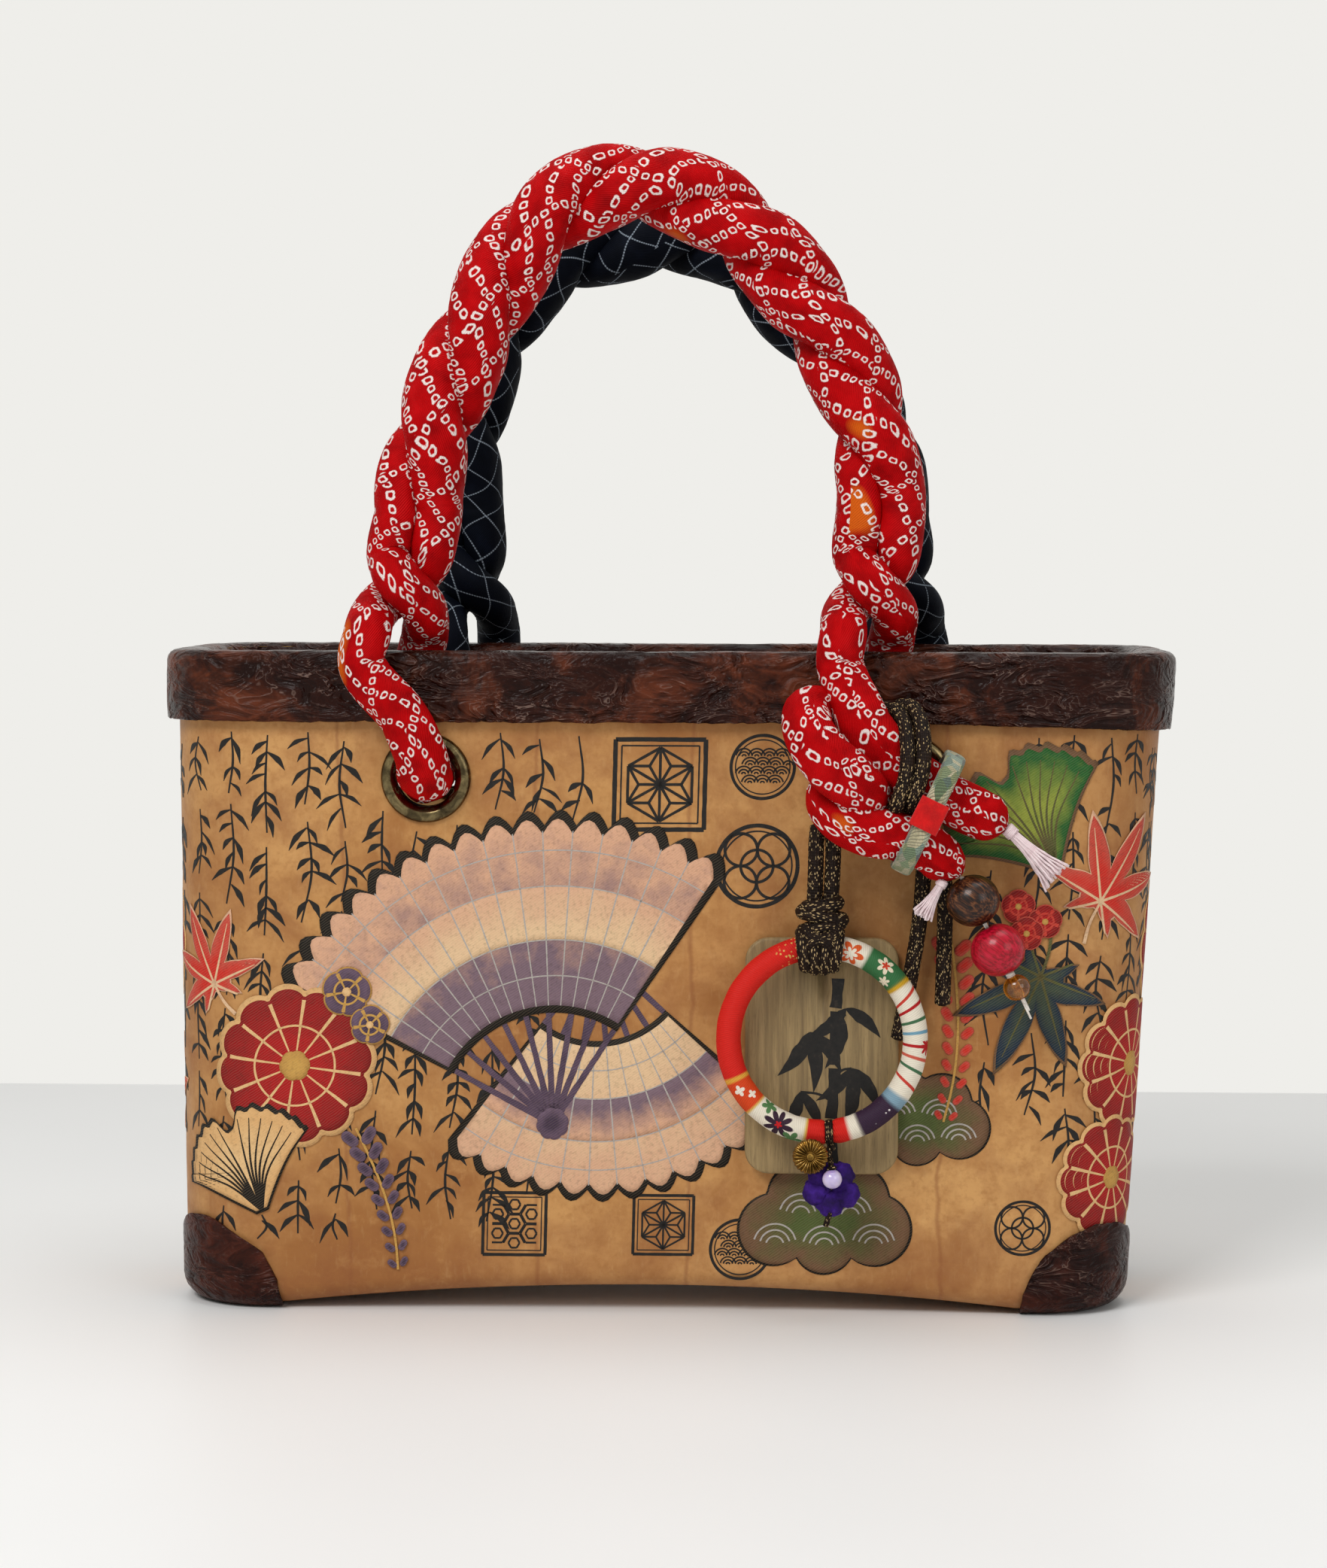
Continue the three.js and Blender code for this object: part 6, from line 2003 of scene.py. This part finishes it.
def maple_outline():
    tips = []
    for k, (lobe, reach) in enumerate(MAPLE_LOBES):
        for off, share in ((-11, 0.62), (0, 1), (11, 0.62)):
            a = math.radians(90 - lobe - off)
            tips.append((reach * share * math.cos(a), reach * share * math.sin(a)))
        if k < len(MAPLE_LOBES) - 1:
            a = math.radians(90 - (lobe + MAPLE_LOBES[k + 1][0]) / 2)
            tips.append((0.3 * math.cos(a), 0.3 * math.sin(a)))
    tips.append((0.03, -0.2))
    tips.append((-0.03, -0.2))
    return corners(tips, -0.05, 5)


def ginkgo_outline():
    outline = []
    for k in range(61):
        a = math.radians(lerp(168, 12, k / 60))
        notch = 0.34 * math.exp(-((k - 30) / 3.4) ** 2)
        ripple = 0.035 * math.sin(k * 1.3)
        outline.append(((1 - notch) * math.cos(a), 0.85 * (1 - notch) * math.sin(a) + ripple))
    for t in np.linspace(0.1, 0.95, 12):
        outline.append((lerp(0.98, 0.05, t ** 0.7), lerp(0.16, -0.62, t)))
    for t in np.linspace(0.95, 0.1, 12):
        outline.append((-lerp(0.98, 0.05, t ** 0.7), lerp(0.16, -0.62, t)))
    return outline


# Places and radii of the round lumps of a cloud
CLOUD_LUMPS = (
    (0, 0, 0.5), (-0.55, -0.1, 0.4), (0.55, -0.1, 0.4),
    (-0.22, 0.25, 0.42), (0.3, 0.22, 0.4), (0, -0.25, 0.34),
)


def cloud_outline():
    """The outer edge of the lumps, seen from the middle."""
    def reach(a):
        way = (math.cos(a), math.sin(a))
        far = 0.1
        for u, v, r in CLOUD_LUMPS:
            along = u * way[0] + v * way[1]
            inside = r * r - (u * u + v * v - along * along)
            if inside > 0:
                far = max(far, along + math.sqrt(inside))
        return far
    return polar(reach)


MAPLE = maple_outline()
GINKGO = ginkgo_outline()
CLOUD = cloud_outline()


def grown(outline, size):
    return [(size * u, size * v) for u, v in outline]


def ray(angle, *reaches):
    """Points at some distances from the middle, all at one angle."""
    return [(t * math.cos(angle), t * math.sin(angle)) for t in reaches]


def arc_line(u, v, radius, start, end, count=8):
    turns = [math.radians(lerp(start, end, k / (count - 1))) for k in range(count)]
    return [(u + radius * math.cos(a), v + radius * math.sin(a)) for a in turns]


FAN_INNER = 0.4
FOLD_STEPS = 6


def paste_fan(page, at, turn, radius, spread, folds, dyes):
    """An open folding fan: ribs, a pleated leaf over a dark edge, and fine pale fold lines."""
    def angle(share, extra=0):
        return math.radians(90 + lerp(spread / 2 + extra, -spread / 2 - extra, share))

    def sector(low, high, extra, scallop, dye):
        rows = []
        for t in np.linspace(0, 1, max(5, int(radius * (high - low) / 2))):
            row = []
            for k in range(folds * FOLD_STEPS + 1):
                wave = 1 + scallop * t * (abs(math.sin(math.pi * k / FOLD_STEPS)) - 0.5)
                row += ray(angle(k / (folds * FOLD_STEPS), extra), lerp(low, high, t) * wave)
            rows.append(placed(row, at, turn, radius))
        page.sheet(rows, dye, False)
        page.up()

    ribs = [(ray(angle(k / folds), 0.02, 0.5), (2.2, 1.6)) for k in range(0, folds + 1, 2)]
    page.draw(ribs, dyes[2], at, turn, radius)
    sector(FAN_INNER - 0.025, 1.03, 1.6, 0.05, "black")
    sector(FAN_INNER, 1, 0, 0.05, dyes[0])
    sector(0.62, 0.8, 0, 0, dyes[1])
    creases = [(ray(angle(k / folds), FAN_INNER, 0.7, 0.985), (0.35, 0.5, 0.4)) for k in range(1, folds)]
    for r in (0.5, 0.62, 0.8, 0.92):
        creases.append((arc_line(0, 0, r, 90 - spread / 2, 90 + spread / 2, 16), [0.4] * 16))
    page.draw(creases, "silver", at, turn, radius)
    page.cut(petals(8, 0.1), dyes[2], at, turn, 0.055 * radius)


def paste_flower(page, at, turn, size, dyes, count=12):
    """A round many-petalled flower with a pale edge and lines between its petals."""
    page.cut(petals(count, 0.12, 0.5), dyes[1], at, turn, size * 1.07)
    page.cut(petals(count, 0.14, 0.5), dyes[0], at, turn, size)
    gaps = []
    for k in range(count):
        a = 2 * math.pi * (k + 0.5) / count
        gaps.append((ray(a, 0.2, 0.55, 0.86), (0.5, 0.9, 1.3)))
    gaps.append((arc_line(0, 0, 0.52, 0, 360, 40), [0.7] * 40))
    page.draw(gaps, dyes[1], at, turn, size)
    page.cut(petals(6, 0.1), dyes[2], at, turn, size * 0.2)


def paste_maple(page, at, turn, size, dyes):
    """A leaf of seven lobes over a rim, with a vein to each lobe and a stalk."""
    page.cut(grown(MAPLE, 1.07), dyes[1], at, turn, size)
    page.cut(MAPLE, dyes[0], at, turn, size)
    veins = []
    for lobe, reach in MAPLE_LOBES:
        a = math.radians(90 - lobe)
        vein = [(t * math.cos(a), t * math.sin(a) - 0.1 * (1 - t)) for t in (0, 0.4, 0.86 * reach)]
        veins.append((vein, (0.9, 0.7, 0.2)))
    veins.append(([(0, -0.1), (0.04, -0.4), (0.12, -0.62)], (0.9, 1, 1.2)))
    page.draw(veins, dyes[1], at, turn, size)


def paste_ginkgo(page, at, turn, size, dyes):
    """A notched fan leaf over a rim, with veins that run together at the stalk."""
    page.cut(grown(GINKGO, 1.08), dyes[1], at, turn, size)
    page.cut(GINKGO, dyes[0], at, turn, size)
    veins = []
    for k in range(13):
        if k == 6:
            continue
        a = math.radians(lerp(160, 20, k / 12))
        end = (0.86 * math.cos(a), 0.74 * math.sin(a))
        veins.append(([(0, -0.6), (end[0] * 0.36, lerp(-0.5, end[1], 0.5)), end], (0.9, 0.7, 0.3)))
    page.draw(veins, dyes[1], at, turn, size)


def paste_cloud(page, at, size, dyes):
    """A low mound of round lumps with rows of arcs."""
    page.cut([(1.03 * u, 1.04 * v) for u, v in CLOUD], "black", at, 0, size)
    page.cut(CLOUD, dyes[0], at, 0, size)
    arcs = []
    for u, v in ((-0.55, -0.28), (0, -0.3), (0.55, -0.28), (-0.27, 0.06), (0.28, 0.05)):
        for r in (0.1, 0.17, 0.24):
            arcs.append((arc_line(u, v, r, 15, 165), [0.55] * 8))
    page.draw(arcs, dyes[1], at, 0, size)


def paste_spray(page, at, turn, length, dyes, pairs=9):
    """A bending stem with round leaves in threes that grow smaller towards its end."""
    stem = [(0.12 * math.sin(2.2 * t), -t) for t in np.linspace(0, 1, 7)]
    page.draw([(stem, [0.8] * 7)], dyes[1], at, turn, length)
    leaf = polar(lambda a: 0.78 + 0.22 * math.cos(2 * a), 24)
    for k in range(pairs):
        t = (k + 0.4) / pairs
        u, v = 0.12 * math.sin(2.2 * t), -t
        for side in (-1, 1):
            spot = placed([(u + side * 0.055 * (1.2 - 0.5 * t), v - 0.02)], at, turn, length)[0]
            page.shape(leaf, dyes[0], spot, turn + 90 - side * 40, lerp(3.4, 1.7, t))
    page.up()


# Ink
INK_GAP = 17
FRONT_HALF = 200


def ink_sprig(rng, s, top, bottom):
    """A hanging sprig in one column: a thin stem that breaks now and then, with leaves in pairs."""
    strokes = []
    z = top
    while z > bottom + 8:
        run = rng.uniform(18, 34)
        end = max(bottom, z - run)
        sway = rng.uniform(-2.5, 2.5)
        stem = [(s + sway * 0.3, z), (s + sway, (z + end) / 2), (s - sway * 0.3, end)]
        strokes.append((stem, (0.5, 0.9, 0.5)))
        spot = z - 2
        while spot > end + 3:
            for side in (-1, 1):
                if rng.random() < 0.24:
                    continue
                angle = math.radians(-90 + side * rng.uniform(18, 62))
                length = rng.uniform(5, 10)
                x = s + sway * math.sin(math.pi * (z - spot) / run)
                tip = (x + length * math.cos(angle), spot + length * math.sin(angle))
                bend = (lerp(x, tip[0], 0.5) + side * 0.6, lerp(spot, tip[1], 0.5) + 0.5)
                strokes.append(([(x, spot), bend, tip], (0.4, rng.uniform(1.3, 2.3), 0.15)))
            spot -= rng.uniform(3.4, 6)
        z = end - rng.uniform(3, 7)
    return strokes


def ink_clear(stroke):
    """Whether a stroke stays off the eyelets, in front and behind."""
    for s, z in stroke[0]:
        across = abs(s if abs(s) < FRONT_HALF else half_outline(z) - abs(s))
        if math.hypot(across - EYELET_X, z - EYELET_Z) <= INK_GAP:
            return False
    return True


def ink_frame(kind, size):
    """A square or round double frame for a printed mark."""
    if kind == "round":
        return [(arc_line(0, 0, r, 0, 360, 40), [w * size] * 40) for r, w in ((0.5, 0.05), (0.43, 0.02))]
    frame = []
    for r, w in ((0.5, 0.05), (0.43, 0.018)):
        spots = [(-r, -r), (r, -r), (r, r), (-r, r), (-r, -r)]
        frame += [([a, b], (w * size, w * size)) for a, b in zip(spots, spots[1:])]
    return frame


def ink_hemp(width):
    lines = []
    for k in range(6):
        tip = ray(math.radians(60 * k + 30), 0.41)[0]
        next_tip = ray(math.radians(60 * k + 90), 0.41)[0]
        third = ((tip[0] + next_tip[0]) / 3, (tip[1] + next_tip[1]) / 3)
        for line in (((0, 0), tip), ((0, 0), third), (tip, third), (third, next_tip), (tip, next_tip)):
            lines.append((list(line), (width * 0.7, width * 0.7)))
    return lines


def ink_rings(width):
    lines = []
    for u, v in ((0, 0), (0.2, 0.2), (-0.2, 0.2), (0.2, -0.2), (-0.2, -0.2)):
        lines.append((arc_line(u, v, 0.2, 0, 360, 28), [width * 0.8] * 28))
    return lines


SHELLS = ((0, 0), (0.27, 0.156), (0.27, -0.156), (-0.27, 0.156), (-0.27, -0.156), (0, 0.31), (0, -0.31))


def ink_shell(width):
    lines = []
    for u, v in SHELLS:
        for r in (0.17, 0.09):
            turns = np.radians(np.arange(0, 361, 60))
            spots = [(u + r * math.cos(a), v + r * math.sin(a)) for a in turns]
            keep = [(abs(x) < 0.43 and abs(y) < 0.43) for x, y in spots]
            for k in range(6):
                if keep[k] and keep[k + 1]:
                    lines.append(([spots[k], spots[k + 1]], (width * 0.7, width * 0.7)))
    return lines


def ink_waves(width):
    lines = []
    for row in range(4):
        for u in np.arange(-0.3, 0.31, 0.2) + 0.1 * (row % 2):
            v = 0.16 - 0.14 * row
            for r in (0.13, 0.08, 0.035):
                if math.hypot(abs(u) + r, abs(v) + r) < 0.52:
                    lines.append((arc_line(u, v, r, 10, 170), [width * 0.6] * 8))
    return lines


# Printed marks of old geometric patterns: hemp leaf, linked rings, tortoise shell and sea waves
MARKS = {
    "hemp": ("square", ink_hemp),
    "rings": ("round", ink_rings),
    "shell": ("square", ink_shell),
    "waves": ("round", ink_waves),
}


def ink_mark(kind, size):
    frame, inside = MARKS[kind]
    return ink_frame(frame, size) + inside(0.045 * size)


# The places of the pieces, in millimetres along the outline from the middle of the front and upwards
INK_SEED = 31
BACK = half_outline(110)
SIDE = BACK / 2


def ink_page(name, columns, marks):
    """Columns of hanging sprigs (place, top, bottom) and printed marks (kind, place, size) in ink."""
    rng = random.Random(INK_SEED)
    page = Collage(name)
    strokes = []
    for s, top, bottom in columns:
        strokes += [stroke for stroke in ink_sprig(rng, s, top, bottom) if ink_clear(stroke)]
    page.ink(strokes, (0, 0), 1)
    for kind, at, size in marks:
        page.ink(ink_mark(kind, size), at, size)
    page.finish()


def front_page():
    ink_page("front_ink", [
        (-172, 190, 52), (-158, 193, 50), (-145, 195, 24), (-132, 194, 24), (-119, 195, 26), (-106, 192, 24),
        (-93, 195, 24), (-81, 162, 24), (-68, 194, 22), (-55, 195, 24), (-42, 193, 40), (-29, 194, 148),
        (110, 150, 60), (124, 194, 58), (136, 195, 40), (148, 194, 50), (160, 195, 50), (173, 190, 60),
    ], [
        ("hemp", (-1, 178), 30), ("waves", (33, 184), 21), ("rings", (32, 151), 27), ("shell", (-46, 30), 21),
        ("hemp", (4, 30), 20), ("waves", (30, 22), 20), ("rings", (124, 30), 18),
    ])
    page = Collage("front_fans")
    paste_cloud(page, (88, 66), 25, ("moss", "silver"))
    paste_cloud(page, (58, 32), 30, ("moss", "silver"))
    page.level_at(0)
    paste_fan(page, (-20, 122), 186, 80, 84, 12, ("pale", "peach", "mauve"))
    paste_fan(page, (-34, 64), 15, 100, 94, 16, ("peach", "pale", "mauve"))
    page.finish()
    page = Collage("front_cutouts")
    page.level_at(10)
    paste_maple(page, (-151, 112), 28, 24, ("rose", "pale"))
    paste_flower(page, (-121, 83), 8, 26, ("red", "cream", "gold"))
    paste_ginkgo(page, (-137, 47), 24, 24, ("cream", "black"))
    paste_spray(page, (-100, 62), 12, 50, ("mauve", "gold"))
    for at, size in (((-104, 108), 8), ((-96, 97), 6.4)):
        paste_flower(page, at, 10, size, ("mauve", "gold", "cream"), 5)
    page.level_at(6)
    paste_spray(page, (97, 128), -6, 62, ("rose", "gold"), 11)
    paste_spray(page, (152, 98), 34, 52, ("teal", "gold"))
    paste_ginkgo(page, (122, 165), 32, 28, ("green", "moss"))
    paste_maple(page, (148, 142), -34, 28, ("rose", "pale"))
    paste_maple(page, (126, 112), 156, 29, ("teal", "moss"))
    paste_flower(page, (164, 84), 0, 22, ("red", "cream", "gold"))
    paste_flower(page, (156, 46), 0, 20, ("red", "cream", "gold"))
    for at in ((119, 138), (128, 133), (122, 129)):
        paste_flower(page, at, 20, 5.4, ("red", "rose", "gold"), 5)
    page.finish()


def side_page(end, name):
    """One end of the basket. end is 1 at the right and -1 at the left."""
    ink_page(f"{name}_ink", [(end * (SIDE + k * 17), 190, 30 + 8 * abs(k)) for k in (-2, -1, 0, 1, 2)], [])
    page = Collage(f"{name}_cutouts")
    paste_flower(page, (end * (SIDE - 8), 122), 0, 27, ("red", "cream", "gold"))
    paste_ginkgo(page, (end * (SIDE + 19), 84), -end * 30, 23, ("green", "moss"))
    paste_maple(page, (end * (SIDE - 18), 68), end * 24, 22, ("rose", "pale"))
    paste_spray(page, (end * (SIDE + 26), 160), -end * 8, 46, ("mauve", "gold"))
    page.finish()


def back_page():
    ink_page("back_ink", [(BACK + k * 17, 193, 26) for k in (-8, -7, -6, -5, -4, -3, 2, 3, 4, 6, 7, 8)], [
        ("hemp", (BACK - 12, 176), 30), ("rings", (BACK + 18, 168), 26), ("shell", (BACK - 22, 32), 24),
    ])
    page = Collage("back_cutouts")
    paste_cloud(page, (BACK + 96, 40), 33, ("moss", "silver"))
    paste_fan(page, (BACK + 28, 58), -18, 92, 92, 16, ("peach", "pale", "mauve"))
    page.level_at(0)
    paste_flower(page, (BACK - 96, 112), 0, 28, ("red", "cream", "gold"))
    paste_ginkgo(page, (BACK - 66, 78), 16, 26, ("green", "moss"))
    paste_maple(page, (BACK - 112, 66), -20, 27, ("teal", "moss"))
    paste_ginkgo(page, (BACK + 118, 118), -24, 26, ("cream", "black"))
    paste_spray(page, (BACK - 60, 146), 6, 48, ("mauve", "gold"))
    page.finish()


front_page()
side_page(1, "right")
side_page(-1, "left")
back_page()
